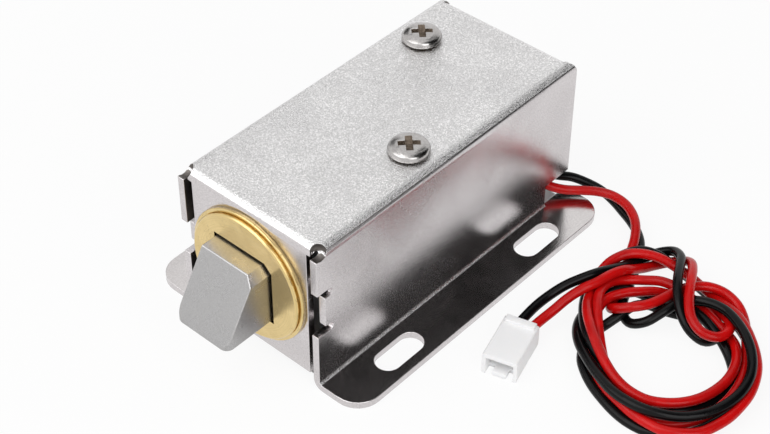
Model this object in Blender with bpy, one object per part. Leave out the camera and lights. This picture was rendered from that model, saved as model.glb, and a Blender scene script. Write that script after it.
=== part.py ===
"""Small solenoid lock: a spring bolt that an electromagnet draws into a folded steel case.

Frame: X across the case, +Y from the bolt towards the rear, +Z up. The front plate's outer face is
moved to FRONT_Y, so that the origin lies under the middle of the lock, on the flanges' undersides.
"""
import math

import bmesh
import bpy
from mathutils import Matrix, Vector

mm = 0.001

# Folded case
SHEET = 1.2 * mm
BEND_INSIDE = 0.4 * mm
CASE_WIDTH = 26.8 * mm
CASE_LENGTH = 57.15 * mm
FLANGE_SPAN = 42.0 * mm
FLANGE_CORNER = 4.0 * mm
WALL_AHEAD = 0.45 * mm
PLATE_SIDE_GAP = 1.1 * mm
FRONT_PLATE_FOOT = 1.65 * mm
REAR_PLATE_FOOT = 5.0 * mm
RELIEF_HOLE = 1.35 * mm
RELIEF_INSET = 0.55 * mm
SLIT_HEIGHT = 1.3 * mm
SLIT_DEPTH = 3.05 * mm
TONGUE_SET_BACK = 1.5 * mm
RIGHT_TONGUE_TOP = 17.0 * mm
LEFT_TONGUE_TOP = 15.1 * mm
TONGUE_FOOT = 11.7 * mm
LEAD_NOTCH_LENGTH = 5.8 * mm
LEAD_NOTCH_HEIGHT = 4.95 * mm
LEAD_NOTCH_INSET = 0.35 * mm

# Mounting slots in the flanges
SLOT_LENGTH = 8.8 * mm
SLOT_WIDTH = 4.0 * mm
SLOT_FROM_EDGE = 3.6 * mm
FRONT_SLOT = 12.35 * mm
REAR_SLOT = 44.25 * mm

# Screws that hold the yoke to the case top
SCREW_HEAD = 6.2 * mm
SCREW_HEAD_HEIGHT = 1.35 * mm
SCREW_SHANK = 3.0 * mm
SCREW_GRIP = 3.2 * mm
RIGHT_SCREW = (8.35 * mm, 23.9 * mm)
LEFT_SCREW = (-7.9 * mm, 45.4 * mm)
SCREW_POINT = 0.3 * mm
SCREW_DOME = [(0.0, 1.0), (0.45, 0.97), (0.75, 0.84), (0.93, 0.6), (1.0, 0.3)]
RECESS_SPAN = 3.3 * mm
RECESS_BOTTOM = 1.15 * mm
RECESS_WIDTH = 1.05 * mm
RECESS_DEPTH = 0.8 * mm
RECESS_RIM = 0.1 * mm
RECESS_TURN = 0.79

# Bolt and brass bush
AXIS_HEIGHT = 14.05 * mm
BOLT_WIDTH = 10.3 * mm
BOLT_HEIGHT = 10.0 * mm
BOLT_REACH = 10.0 * mm
BOLT_SLANT_TOP = 4.1 * mm
BOLT_TIP_FLAT = 0.5 * mm
BOLT_KEY_CHAMFER = 1.3 * mm
BOLT_NOSE_RADIUS = 1.3 * mm
BOLT_STROKE = 10.0 * mm
COLLAR_OVER = 2.5 * mm
COLLAR_THICKNESS = 1.6 * mm
BOLT_CLEARANCE = 0.4 * mm
BUSH_RIDGE_DIAMETER = 21.6 * mm
BUSH_RIDGE = 0.4 * mm
BUSH_GROOVE_DIAMETER = 20.0 * mm
BUSH_GROOVE = 0.15 * mm
BUSH_FACE_DIAMETER = 20.5 * mm
BUSH_FACE = 0.5 * mm
BUSH_SLEEVE_DIAMETER = 17.2 * mm
BUSH_LIP_DIAMETER = 18.8 * mm
BUSH_LIP = 0.8 * mm
BUSH_SLEEVE_TAIL = 1.4 * mm
BUSH_BEVEL = 0.25 * mm

# Magnet
PLUNGER_DIAMETER = 8.0 * mm
PLUNGER_LENGTH = 28.0 * mm
PLUNGER_IN_BOLT = 6.0 * mm
PLUNGER_EDGE = 0.6 * mm
PIN_DIAMETER = 2.4 * mm
PIN_FROM_COLLAR = 3.6 * mm
YOKE_SHEET = 1.8 * mm
YOKE_SIDE_GAP = 1.2 * mm
YOKE_LENGTH = 30.0 * mm
YOKE_FRONT = 19.45 * mm
YOKE_BEND_INSIDE = 0.4 * mm
POLE_PLATE_INSET = 0.6 * mm
YOKE_LEAD_NOTCH = (2.6 * mm, 6.6 * mm)
COIL_CLEARANCE = 0.45 * mm
SLEEVE_WALL = 0.4 * mm
BOBBIN_WALL = 0.8 * mm
BOBBIN_FLANGE = 1.2 * mm
BOBBIN_SIDE_INSET = 1.0 * mm
BOBBIN_CORNER = 1.5 * mm
WINDING_DEPTH = 1.6 * mm
TAPE_THICKNESS = 0.3 * mm
CORE_GAP = 0.4 * mm
CORE_SPIGOT_DIAMETER = 5.0 * mm
CORE_HEAD_DIAMETER = 7.0 * mm
CORE_HEAD = 0.8 * mm
CORE_EDGE = 0.5 * mm
SPRING_WIRE = 0.5 * mm
SPRING_TURNS = 6.0

# Leads and their connector
LEAD_DIAMETER = 1.5 * mm
LEAD_POINTS_EVERY = 2.0
COIL_CENTRE = (44.2 * mm, 41.25 * mm)
COIL_LONG_HALF = 18.6 * mm
COIL_SHORT_HALF = 14.4 * mm
COIL_BAND = 6.0 * mm
COIL_HEIGHT = 4.6 * mm
COIL_TURN = math.radians(126.9)
HOUSING_WIDTH = 5.4 * mm
HOUSING_HEIGHT = 3.8 * mm
HOUSING_LENGTH = 8.4 * mm
HOUSING_CORNER = 0.3 * mm
HOUSING_REAR = (28.22 * mm, 26.42 * mm)
HOUSING_HEADING = math.radians(-73.8)
HOUSING_RIM = (0.5 * mm, 1.2 * mm)
HOUSING_RIM_INSET = 0.4 * mm
HOUSING_MOUTH = (4.2 * mm, 2.2 * mm, 2.6 * mm)
HOUSING_KEY = (1.0 * mm, 1.5 * mm)
HOUSING_KEY_INSET = 0.05 * mm
CONTACT_PITCH = 2.0 * mm
CONTACT_SIZE = (1.0 * mm, 1.0 * mm, 5.2 * mm)

# Fits
TOUCH = 0.3 * mm
TURN_STEPS = 40
BEND_STEPS = 5

# The magnet from the plunger outwards; the case is as high as the yoke round the coil needs
SLEEVE_INNER = PLUNGER_DIAMETER / 2 + TOUCH
SLEEVE_OUTER = SLEEVE_INNER + SLEEVE_WALL
SLEEVE_BORE = SLEEVE_OUTER + TOUCH
COIL_OUTER = SLEEVE_BORE + BOBBIN_WALL + TOUCH + WINDING_DEPTH + TOUCH + TAPE_THICKNESS
YOKE_HALF_HEIGHT = COIL_OUTER + COIL_CLEARANCE + YOKE_SHEET
YOKE_TOP = AXIS_HEIGHT + YOKE_HALF_HEIGHT
YOKE_FOOT = AXIS_HEIGHT - YOKE_HALF_HEIGHT
BOBBIN_HALF_HEIGHT = COIL_OUTER + COIL_CLEARANCE - TOUCH
CASE_HEIGHT = YOKE_TOP + TOUCH + SHEET
YOKE_HALF_WIDTH = CASE_WIDTH / 2 - SHEET - YOKE_SIDE_GAP

# Everything above is measured from the front plate's outer face; the frame's origin is mid-length.
FRONT_Y = -(CASE_LENGTH - WALL_AHEAD - BOLT_REACH) / 2
BEND_OUTSIDE = BEND_INSIDE + SHEET
HALF_WIDTH = CASE_WIDTH / 2
WALL_FRONT = FRONT_Y - WALL_AHEAD
WALL_REAR = WALL_FRONT + CASE_LENGTH
REAR_PLATE_OUTER = WALL_REAR - WALL_AHEAD
PLATE_HALF = HALF_WIDTH - SHEET - PLATE_SIDE_GAP
AXIS = Vector((0.0, 0.0, AXIS_HEIGHT))

# Stations along Y on the bush and bolt
BUSH_SEAT = FRONT_Y - TOUCH
BUSH_TAIL = FRONT_Y + SHEET + TOUCH + BUSH_LIP + BUSH_SLEEVE_TAIL
COLLAR_FRONT = BUSH_TAIL + TOUCH
COLLAR_REAR = COLLAR_FRONT + COLLAR_THICKNESS
PLUNGER_FRONT = COLLAR_REAR - PLUNGER_IN_BOLT + TOUCH
PLUNGER_REAR = PLUNGER_FRONT + PLUNGER_LENGTH
PIN_Y = COLLAR_REAR - PIN_FROM_COLLAR

# Stations of the magnet, from the yoke inwards
YOKE_Y = FRONT_Y + YOKE_FRONT
YOKE_REAR = YOKE_Y + YOKE_LENGTH
LEG_INNER = YOKE_REAR - YOKE_SHEET
POLE_FRONT = YOKE_Y + POLE_PLATE_INSET
POLE_REAR = POLE_FRONT + YOKE_SHEET
BOBBIN_FRONT = POLE_REAR + TOUCH
BOBBIN_REAR = LEG_INNER - TOUCH
CORE_FACE = PLUNGER_REAR + BOLT_STROKE + CORE_GAP


def clear_scene():
    """Remove every object, so the script always starts from an empty scene."""
    for item in list(bpy.data.objects):
        bpy.data.objects.remove(item, do_unlink=True)


def material(name, colour, roughness, metallic=0.0):
    """Plain Principled material for one finish."""
    made = bpy.data.materials.new(name)
    made.use_nodes = True
    shader = made.node_tree.nodes["Principled BSDF"]
    shader.inputs["Base Color"].default_value = (*colour, 1.0)
    shader.inputs["Roughness"].default_value = roughness
    shader.inputs["Metallic"].default_value = metallic
    return made


def add_object(name, bm, finish=None, origin=Vector(), smooth=True):
    """Turn a bmesh, given in the lock's frame, into an object whose origin is at the given point."""
    bmesh.ops.translate(bm, vec=-Vector(origin), verts=bm.verts)
    bmesh.ops.recalc_face_normals(bm, faces=bm.faces)
    mesh = bpy.data.meshes.new(name)
    bm.to_mesh(mesh)
    bm.free()
    if smooth:
        mesh.shade_smooth()
        mesh.set_sharp_from_angle(angle=math.radians(30))
    if finish is not None:
        mesh.materials.append(finish)
    made = bpy.data.objects.new(name, mesh)
    made.location = origin
    bpy.context.collection.objects.link(made)
    return made


def add_boolean(target, other, operation):
    """Cut or join one object with a hidden helper object."""
    step = target.modifiers.new(other.name, "BOOLEAN")
    step.operation = operation
    step.object = other
    other.hide_render = True
    other.display_type = "WIRE"


def cut(target, *cutters):
    """Cut each hidden helper out of the target."""
    for cutter in cutters:
        add_boolean(target, cutter, "DIFFERENCE")


def add_prism(bm, outline, axis, low, high):
    """Extrude a closed outline along X, Y or Z; the outline holds the other two coordinates in order."""
    def place(point, along):
        first, second = point
        return {"X": (along, first, second), "Y": (first, along, second), "Z": (first, second, along)}[axis]

    base = [bm.verts.new(place(point, low)) for point in outline]
    face = bm.faces.new(base)
    moved = bmesh.ops.extrude_face_region(bm, geom=[face])["geom"]
    shift = Vector(place((0.0, 0.0), high - low))
    bmesh.ops.translate(bm, vec=shift, verts=[item for item in moved if isinstance(item, bmesh.types.BMVert)])


def prism(outline, axis, low, high):
    """A new bmesh with one extruded outline."""
    bm = bmesh.new()
    add_prism(bm, outline, axis, low, high)
    return bm


def rectangle(x_low, x_high, y_low, y_high):
    """Corner points of a rectangle, anticlockwise."""
    return [(x_low, y_low), (x_high, y_low), (x_high, y_high), (x_low, y_high)]


def box(low, high):
    """A new bmesh with one box between two corners."""
    return prism(rectangle(low[0], high[0], low[1], high[1]), "Z", low[2], high[2])


def arc(centre, radius, start, end, steps=BEND_STEPS):
    """Points on an arc, both ends included; angles in degrees."""
    angles = [math.radians(start + (end - start) * step / steps) for step in range(steps + 1)]
    return [(centre[0] + radius * math.cos(a), centre[1] + radius * math.sin(a)) for a in angles]


def rounded_rectangle(x_low, x_high, y_low, y_high, radii):
    """A rectangle whose corners, from the lower left anticlockwise, have their own radii."""
    corners = [(x_low, y_low, 1, 1, 180), (x_high, y_low, -1, 1, 270), (x_high, y_high, -1, -1, 0),
               (x_low, y_high, 1, -1, 90)]
    points = []
    for (x, y, x_in, y_in, start), radius in zip(corners, radii):
        if radius:
            points += arc((x + x_in * radius, y + y_in * radius), radius, start, start + 90)
        else:
            points.append((x, y))
    return points


def obround(centre, length, width):
    """Outline of a slot with round ends, long along Y."""
    straight = (length - width) / 2
    x, y = centre
    return (arc((x, y + straight), width / 2, 0, 180, 12)
            + arc((x, y - straight), width / 2, 180, 360, 12))


def turned(profile, steps=TURN_STEPS, axis="Y", centre=AXIS):
    """Solid of revolution about an axis through the centre.

    The profile lists (radius, station) pairs; one that starts and ends on the axis is a solid rod,
    and any other is closed into a ring.
    """
    bm = bmesh.new()
    verts = [bm.verts.new((radius, 0.0, station)) for radius, station in profile]
    pairs = list(zip(verts, verts[1:]))
    if profile[0][0] > 0 or profile[-1][0] > 0:
        pairs.append((verts[-1], verts[0]))
    edges = [bm.edges.new(pair) for pair in pairs]
    bmesh.ops.spin(bm, geom=verts + edges, cent=(0, 0, 0), axis=(0, 0, 1), angle=math.tau, steps=steps)
    bmesh.ops.remove_doubles(bm, verts=bm.verts, dist=1e-7)
    if axis == "Y":
        bmesh.ops.rotate(bm, verts=bm.verts, cent=(0, 0, 0), matrix=Matrix.Rotation(-math.pi / 2, 3, "X"))
    if axis == "X":
        bmesh.ops.rotate(bm, verts=bm.verts, cent=(0, 0, 0), matrix=Matrix.Rotation(math.pi / 2, 3, "Y"))
    bmesh.ops.translate(bm, vec=Vector(centre), verts=bm.verts)
    return bm


def smooth_route(points, spacing):
    """Evenly spaced points on a Catmull-Rom curve through the route's own points."""
    route = [Vector(point) for point in points]
    ends = [2 * route[0] - route[1]] + route + [2 * route[-1] - route[-2]]
    fine = []
    for before, start, end, after in zip(ends, ends[1:], ends[2:], ends[3:]):
        for step in range(16):
            t = step / 16
            fine.append(0.5 * (2 * start + (end - before) * t
                               + (2 * before - 5 * start + 4 * end - after) * t ** 2
                               + (3 * start - before - 3 * end + after) * t ** 3))
    fine.append(route[-1])
    travelled = [0.0]
    for start, end in zip(fine, fine[1:]):
        travelled.append(travelled[-1] + (end - start).length)
    count = max(2, round(travelled[-1] / spacing))
    even = []
    place = 0
    for step in range(count + 1):
        target = travelled[-1] * step / count
        while place < len(fine) - 2 and travelled[place + 1] < target:
            place += 1
        span = travelled[place + 1] - travelled[place]
        even.append(fine[place].lerp(fine[place + 1], (target - travelled[place]) / span))
    return even


def add_tube(name, points, diameter, finish):
    """Round bar along a polyline, as a bevelled curve with filled ends."""
    curve = bpy.data.curves.new(name, "CURVE")
    curve.dimensions = "3D"
    curve.bevel_depth = diameter / 2
    curve.bevel_resolution = 2
    curve.use_fill_caps = True
    spline = curve.splines.new("POLY")
    spline.points.add(len(points) - 1)
    for place, point in zip(spline.points, points):
        place.co = (*point, 1.0)
    curve.materials.append(finish)
    made = bpy.data.objects.new(name, curve)
    bpy.context.collection.objects.link(made)
    return made


def channel_outline():
    """Section of the case across X and Z: flange, wall, top, wall, flange, all one sheet."""
    wall = HALF_WIDTH
    top = CASE_HEIGHT
    right_outer = ([(FLANGE_SPAN / 2, 0.0), (FLANGE_SPAN / 2, SHEET)]
                   + arc((wall + BEND_INSIDE, SHEET + BEND_INSIDE), BEND_INSIDE, 270, 180)
                   + arc((wall - BEND_OUTSIDE, top - BEND_OUTSIDE), BEND_OUTSIDE, 0, 90))
    left_outer = [(-x, z) for x, z in reversed(right_outer)]
    right_inner = (arc((wall - BEND_OUTSIDE, top - BEND_OUTSIDE), BEND_INSIDE, 90, 0)
                   + arc((wall + BEND_INSIDE, BEND_OUTSIDE), BEND_OUTSIDE, 180, 270))
    left_inner = [(-x, z) for x, z in reversed(right_inner)]
    return right_outer + left_outer + left_inner + right_inner


def end_plate_outline(outer_y, inward, foot):
    """Section of an end plate across Y and Z, with the bend that joins it to the top."""
    bend_y = outer_y + inward * BEND_OUTSIDE
    lap_y = bend_y + inward * 3 * SHEET
    bend_z = CASE_HEIGHT - BEND_OUTSIDE
    turn = 180 if inward > 0 else 0
    outer = arc((bend_y, bend_z), BEND_OUTSIDE, turn, 90)
    inner = arc((bend_y, bend_z), BEND_INSIDE, 90, turn)
    return ([(outer_y, foot)] + outer + [(lap_y, CASE_HEIGHT), (lap_y, CASE_HEIGHT - SHEET)] + inner
            + [(outer_y + inward * SHEET, foot)])


def add_end_plate(case, name, outer_y, inward, foot):
    """Fold one end plate down from the top, between the side walls."""
    bend_half = HALF_WIDTH - BEND_OUTSIDE
    beyond = outer_y - inward * 4 * SHEET
    start = outer_y + inward * BEND_OUTSIDE
    window = box((-bend_half, min(beyond, start), CASE_HEIGHT - 4 * SHEET),
                 (bend_half, max(beyond, start), CASE_HEIGHT + SHEET))
    cut(case, add_object(name + "_window", window))
    section = end_plate_outline(outer_y, inward, foot)
    fold = add_object(name + "_fold", prism(section, "X", -bend_half, bend_half))
    trim = bmesh.new()
    for side in (-1, 1):
        edges = sorted((side * PLATE_HALF, side * (bend_half + SHEET)))
        add_prism(trim, rectangle(edges[0], edges[1], outer_y - 2 * SHEET, outer_y + 2 * SHEET), "Z",
                  -SHEET, CASE_HEIGHT - BEND_OUTSIDE)
    cut(fold, add_object(name + "_trim", trim))
    add_boolean(case, fold, "UNION")


def slit_cutter(side, tongue_top):
    """Two slits and the set-back tongue between them, in one side wall's front edge."""
    outline = ([(WALL_FRONT - SHEET, TONGUE_FOOT - SLIT_HEIGHT)]
               + arc((WALL_FRONT + SLIT_DEPTH - SLIT_HEIGHT / 2, TONGUE_FOOT - SLIT_HEIGHT / 2),
                     SLIT_HEIGHT / 2, -90, 90)
               + [(WALL_FRONT + TONGUE_SET_BACK, TONGUE_FOOT), (WALL_FRONT + TONGUE_SET_BACK, tongue_top)]
               + arc((WALL_FRONT + SLIT_DEPTH - SLIT_HEIGHT / 2, tongue_top + SLIT_HEIGHT / 2),
                     SLIT_HEIGHT / 2, -90, 90)
               + [(WALL_FRONT - SHEET, tongue_top + SLIT_HEIGHT)])
    edges = sorted((side * (HALF_WIDTH - 1.5 * SHEET), side * (HALF_WIDTH + SHEET)))
    return outline, edges


def build_case(finish):
    """The folded case with all its holes."""
    case = add_object("case", prism(channel_outline(), "Y", WALL_FRONT, WALL_REAR), finish)
    front_corners = box((-HALF_WIDTH - SHEET, WALL_FRONT - SHEET, CASE_HEIGHT - BEND_OUTSIDE),
                        (HALF_WIDTH + SHEET, FRONT_Y + RELIEF_INSET, CASE_HEIGHT + SHEET))
    cut(case, add_object("front_corners", front_corners))
    rounding = arc((WALL_REAR - BEND_OUTSIDE, CASE_HEIGHT - BEND_OUTSIDE), BEND_OUTSIDE, 0, 90)
    past_rear = [(WALL_REAR + SHEET, CASE_HEIGHT + SHEET), (WALL_REAR + SHEET, CASE_HEIGHT - BEND_OUTSIDE)]
    rear_corners = past_rear + rounding + [(WALL_REAR - BEND_OUTSIDE, CASE_HEIGHT + SHEET)]
    cut(case, add_object("rear_corners", prism(rear_corners, "X", -HALF_WIDTH - SHEET, HALF_WIDTH + SHEET)))
    add_end_plate(case, "front_plate", FRONT_Y, 1, FRONT_PLATE_FOOT)
    add_end_plate(case, "rear_plate", REAR_PLATE_OUTER, -1, REAR_PLATE_FOOT)

    through = bmesh.new()
    for side in (-1, 1):
        for station in (FRONT_SLOT, REAR_SLOT):
            across = side * (FLANGE_SPAN / 2 - SLOT_FROM_EDGE)
            slot = obround((across, WALL_FRONT + station), SLOT_LENGTH, SLOT_WIDTH)
            add_prism(through, slot, "Z", -SHEET, 2 * SHEET)
    for x, y in (RIGHT_SCREW, LEFT_SCREW):
        hole = arc((x, FRONT_Y + y), SCREW_SHANK / 2 + TOUCH, 0, 345, 23)
        add_prism(through, hole, "Z", CASE_HEIGHT - 2 * SHEET, CASE_HEIGHT + SHEET)
    cut(case, add_object("slots_and_holes", through))

    corners = bmesh.new()
    half = FLANGE_SPAN / 2
    for x_side in (-1, 1):
        for y, y_side in ((WALL_FRONT, -1), (WALL_REAR, 1)):
            pocket = [(x_side * (half + SHEET), y + y_side * SHEET),
                      (x_side * (half + SHEET), y - y_side * FLANGE_CORNER),
                      (x_side * half, y - y_side * FLANGE_CORNER)]
            centre = (x_side * (half - FLANGE_CORNER), y - y_side * FLANGE_CORNER)
            turn = 0 if x_side > 0 else 180
            end = {(1, -1): -90, (1, 1): 90, (-1, -1): 270, (-1, 1): 90}[(x_side, y_side)]
            curve = arc(centre, FLANGE_CORNER, turn, end, 8)[1:]
            pocket += curve + [(x_side * (half - FLANGE_CORNER), y + y_side * SHEET)]
            add_prism(corners, pocket, "Z", -SHEET, 2 * SHEET)
    cut(case, add_object("flange_corners", corners))

    reliefs = bmesh.new()
    for side in (-1, 1):
        across = side * (HALF_WIDTH - RELIEF_INSET)
        place = Vector((across, FRONT_Y + RELIEF_INSET, CASE_HEIGHT - RELIEF_INSET))
        bmesh.ops.create_icosphere(reliefs, subdivisions=3, radius=RELIEF_HOLE,
                                   matrix=Matrix.Translation(place))
    cut(case, add_object("bend_reliefs", reliefs))

    slits = bmesh.new()
    for side, tongue_top in ((1, RIGHT_TONGUE_TOP), (-1, LEFT_TONGUE_TOP)):
        outline, edges = slit_cutter(side, tongue_top)
        add_prism(slits, outline, "X", edges[0], edges[1])
    cut(case, add_object("tongue_slits", slits))

    notch = prism(rectangle(WALL_REAR - LEAD_NOTCH_LENGTH, WALL_REAR + SHEET, -SHEET, LEAD_NOTCH_HEIGHT), "X",
                  HALF_WIDTH - 2 * SHEET, HALF_WIDTH - LEAD_NOTCH_INSET)
    step = prism(rectangle(WALL_REAR - LEAD_NOTCH_LENGTH, WALL_REAR + SHEET, SHEET, LEAD_NOTCH_HEIGHT), "X",
                 HALF_WIDTH - 2 * SHEET, HALF_WIDTH + 2 * SHEET)
    bore = prism(arc((0.0, AXIS_HEIGHT), BUSH_SLEEVE_DIAMETER / 2 + TOUCH, 0, 351, 39), "Y",
                 FRONT_Y - SHEET, FRONT_Y + 2 * SHEET)
    cut(case, add_object("lead_notch", notch), add_object("lead_notch_step", step))
    cut(case, add_object("bush_bore", bore))
    return case


def build_screw(name, place, finish):
    """Pan-head screw with a cross recess, through the case top into the yoke."""
    seat = CASE_HEIGHT + TOUCH
    radius = SCREW_HEAD / 2
    crown = seat + SCREW_HEAD_HEIGHT
    dome = [(radius * out, seat + SCREW_HEAD_HEIGHT * up) for out, up in SCREW_DOME]
    shank = SCREW_SHANK / 2
    foot = seat - SCREW_GRIP
    profile = dome + [(radius, seat), (shank, seat), (shank, foot + SCREW_POINT), (shank - SCREW_POINT, foot),
                      (0.0, foot)]
    origin = Vector((place[0], FRONT_Y + place[1], 0.0))
    screw = add_object(name, turned(profile, 32, "Z", origin), finish, origin + Vector((0, 0, seat)))
    for turn, cutter_name in ((0.0, name + "_recess_a"), (math.pi / 2, name + "_recess_b")):
        top = RECESS_SPAN / 2
        depth = crown - RECESS_DEPTH
        floor = RECESS_BOTTOM / 2
        rim = crown - RECESS_RIM
        outline = [(-top, crown + SHEET), (-top, rim), (-floor, depth), (floor, depth), (top, rim),
                   (top, crown + SHEET)]
        wedge = prism(outline, "Y", -RECESS_WIDTH / 2, RECESS_WIDTH / 2)
        spun = Matrix.Rotation(turn + RECESS_TURN, 3, "Z")
        bmesh.ops.rotate(wedge, verts=wedge.verts, cent=(0, 0, 0), matrix=spun)
        bmesh.ops.translate(wedge, vec=origin, verts=wedge.verts)
        cut(screw, add_object(cutter_name, wedge))
    return screw


def keyed_outline(half_width, half_height, chamfer):
    """Near-square section whose upper right corner is cut off."""
    z = AXIS_HEIGHT
    return [(-half_width, z - half_height), (half_width, z - half_height),
            (half_width, z + half_height - chamfer), (half_width - chamfer, z + half_height),
            (-half_width, z + half_height)]


def build_bush(finish):
    """Brass bush: stepped flange in front of the plate, sleeve through it, lip staked over behind."""
    ridge = BUSH_SEAT - BUSH_RIDGE
    groove = ridge - BUSH_GROOVE
    face = groove - BUSH_FACE
    lip_front = FRONT_Y + SHEET + TOUCH
    lip_rear = lip_front + BUSH_LIP
    sleeve = BUSH_SLEEVE_DIAMETER / 2
    profile = [(0.0, face), (BUSH_FACE_DIAMETER / 2 - BUSH_BEVEL, face),
               (BUSH_FACE_DIAMETER / 2, face + BUSH_BEVEL),
               (BUSH_FACE_DIAMETER / 2, groove), (BUSH_GROOVE_DIAMETER / 2, groove),
               (BUSH_GROOVE_DIAMETER / 2, ridge), (BUSH_RIDGE_DIAMETER / 2 - BUSH_BEVEL / 2, ridge),
               (BUSH_RIDGE_DIAMETER / 2, ridge + BUSH_BEVEL / 2), (BUSH_RIDGE_DIAMETER / 2, BUSH_SEAT),
               (sleeve, BUSH_SEAT), (sleeve, lip_front), (BUSH_LIP_DIAMETER / 2, lip_front),
               (BUSH_LIP_DIAMETER / 2, lip_rear), (sleeve, lip_rear), (sleeve, BUSH_TAIL), (0.0, BUSH_TAIL)]
    bush = add_object("bush", turned(profile, 48), finish, AXIS)
    hole = keyed_outline(BOLT_WIDTH / 2 + BOLT_CLEARANCE, BOLT_HEIGHT / 2 + BOLT_CLEARANCE, BOLT_KEY_CHAMFER)
    cut(bush, add_object("bolt_hole", prism(hole, "Y", face - SHEET, BUSH_TAIL + SHEET)))
    return bush


def build_bolt(finish):
    """Slant-faced bolt with a stop collar and a bore for the plunger."""
    half_width = BOLT_WIDTH / 2
    half_height = BOLT_HEIGHT / 2
    tip = FRONT_Y - BOLT_REACH
    bolt = add_object("bolt", prism(keyed_outline(half_width, half_height, BOLT_KEY_CHAMFER), "Y",
                                    tip, COLLAR_REAR), finish, AXIS)
    over = COLLAR_OVER / 2
    collar = box((-half_width - over, COLLAR_FRONT, AXIS_HEIGHT - half_height - over),
                 (half_width + over, COLLAR_REAR, AXIS_HEIGHT + half_height + over))
    add_boolean(bolt, add_object("bolt_collar", collar), "UNION")
    low = AXIS_HEIGHT - half_height
    high = AXIS_HEIGHT + half_height
    slope = (high - low - BOLT_TIP_FLAT) / (BOLT_REACH - BOLT_SLANT_TOP)
    rise = 2 * SHEET
    ahead = tip - rise / slope
    behind = FRONT_Y - BOLT_SLANT_TOP + rise / slope
    slant = [(ahead, low + BOLT_TIP_FLAT - rise), (behind, high + rise), (ahead, high + rise)]
    cut(bolt, add_object("slant_cutter", prism(slant, "X", -BOLT_WIDTH, BOLT_WIDTH)))
    rounds = bmesh.new()
    for side in (-1, 1):
        corner_x = side * half_width
        centre = (corner_x - side * BOLT_NOSE_RADIUS, tip + BOLT_NOSE_RADIUS)
        outline = [(corner_x + side * SHEET, tip - SHEET), (corner_x + side * SHEET, tip + BOLT_NOSE_RADIUS)]
        outline += arc(centre, BOLT_NOSE_RADIUS, 0 if side > 0 else 180, -90 if side > 0 else 270, 8)
        outline.append((corner_x - side * BOLT_NOSE_RADIUS, tip - SHEET))
        add_prism(rounds, outline, "Z", low - SHEET, high + SHEET)
    cut(bolt, add_object("nose_rounds", rounds))
    bore_end = COLLAR_REAR - PLUNGER_IN_BOLT
    bore_radius = PLUNGER_DIAMETER / 2 + TOUCH
    bore = turned([(0.0, bore_end), (bore_radius, bore_end), (bore_radius, COLLAR_REAR + SHEET),
                   (0.0, COLLAR_REAR + SHEET)])
    cut(bolt, add_object("plunger_bore", bore))
    cut(bolt, add_object("bolt_pin_bore", pin_solid(PIN_DIAMETER / 2 + TOUCH, BOLT_WIDTH)))
    return bolt


def pin_solid(radius, half_length):
    """Plain cross pin along X, through bolt and plunger."""
    return turned([(0.0, -half_length), (radius, -half_length), (radius, half_length), (0.0, half_length)],
                  24, "X", Vector((0.0, PIN_Y, AXIS_HEIGHT)))


def build_plunger(finish):
    """Steel plunger: its front end sits in the bolt, its rear end in the guide sleeve."""
    radius = PLUNGER_DIAMETER / 2
    edge = PLUNGER_EDGE
    profile = [(0.0, PLUNGER_FRONT), (radius - edge, PLUNGER_FRONT), (radius, PLUNGER_FRONT + edge),
               (radius, PLUNGER_REAR - edge), (radius - edge, PLUNGER_REAR), (0.0, PLUNGER_REAR)]
    plunger = add_object("plunger", turned(profile), finish, AXIS)
    cut(plunger, add_object("plunger_pin_bore", pin_solid(PIN_DIAMETER / 2 + TOUCH, PLUNGER_DIAMETER)))
    return plunger


def build_spring(finish):
    """Return spring between the bolt's collar and the pole plate."""
    radius = PLUNGER_DIAMETER / 2 + 2 * TOUCH + SPRING_WIRE / 2
    start = COLLAR_REAR + TOUCH + SPRING_WIRE / 2
    end = POLE_FRONT - TOUCH - SPRING_WIRE / 2
    points = []
    steps = round(SPRING_TURNS * 16)
    for step in range(steps + 1):
        turn = math.tau * SPRING_TURNS * step / steps
        along = start + (end - start) * step / steps
        points.append((radius * math.cos(turn), along, AXIS_HEIGHT + radius * math.sin(turn)))
    return add_tube("return_spring", points, SPRING_WIRE, finish)


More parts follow.
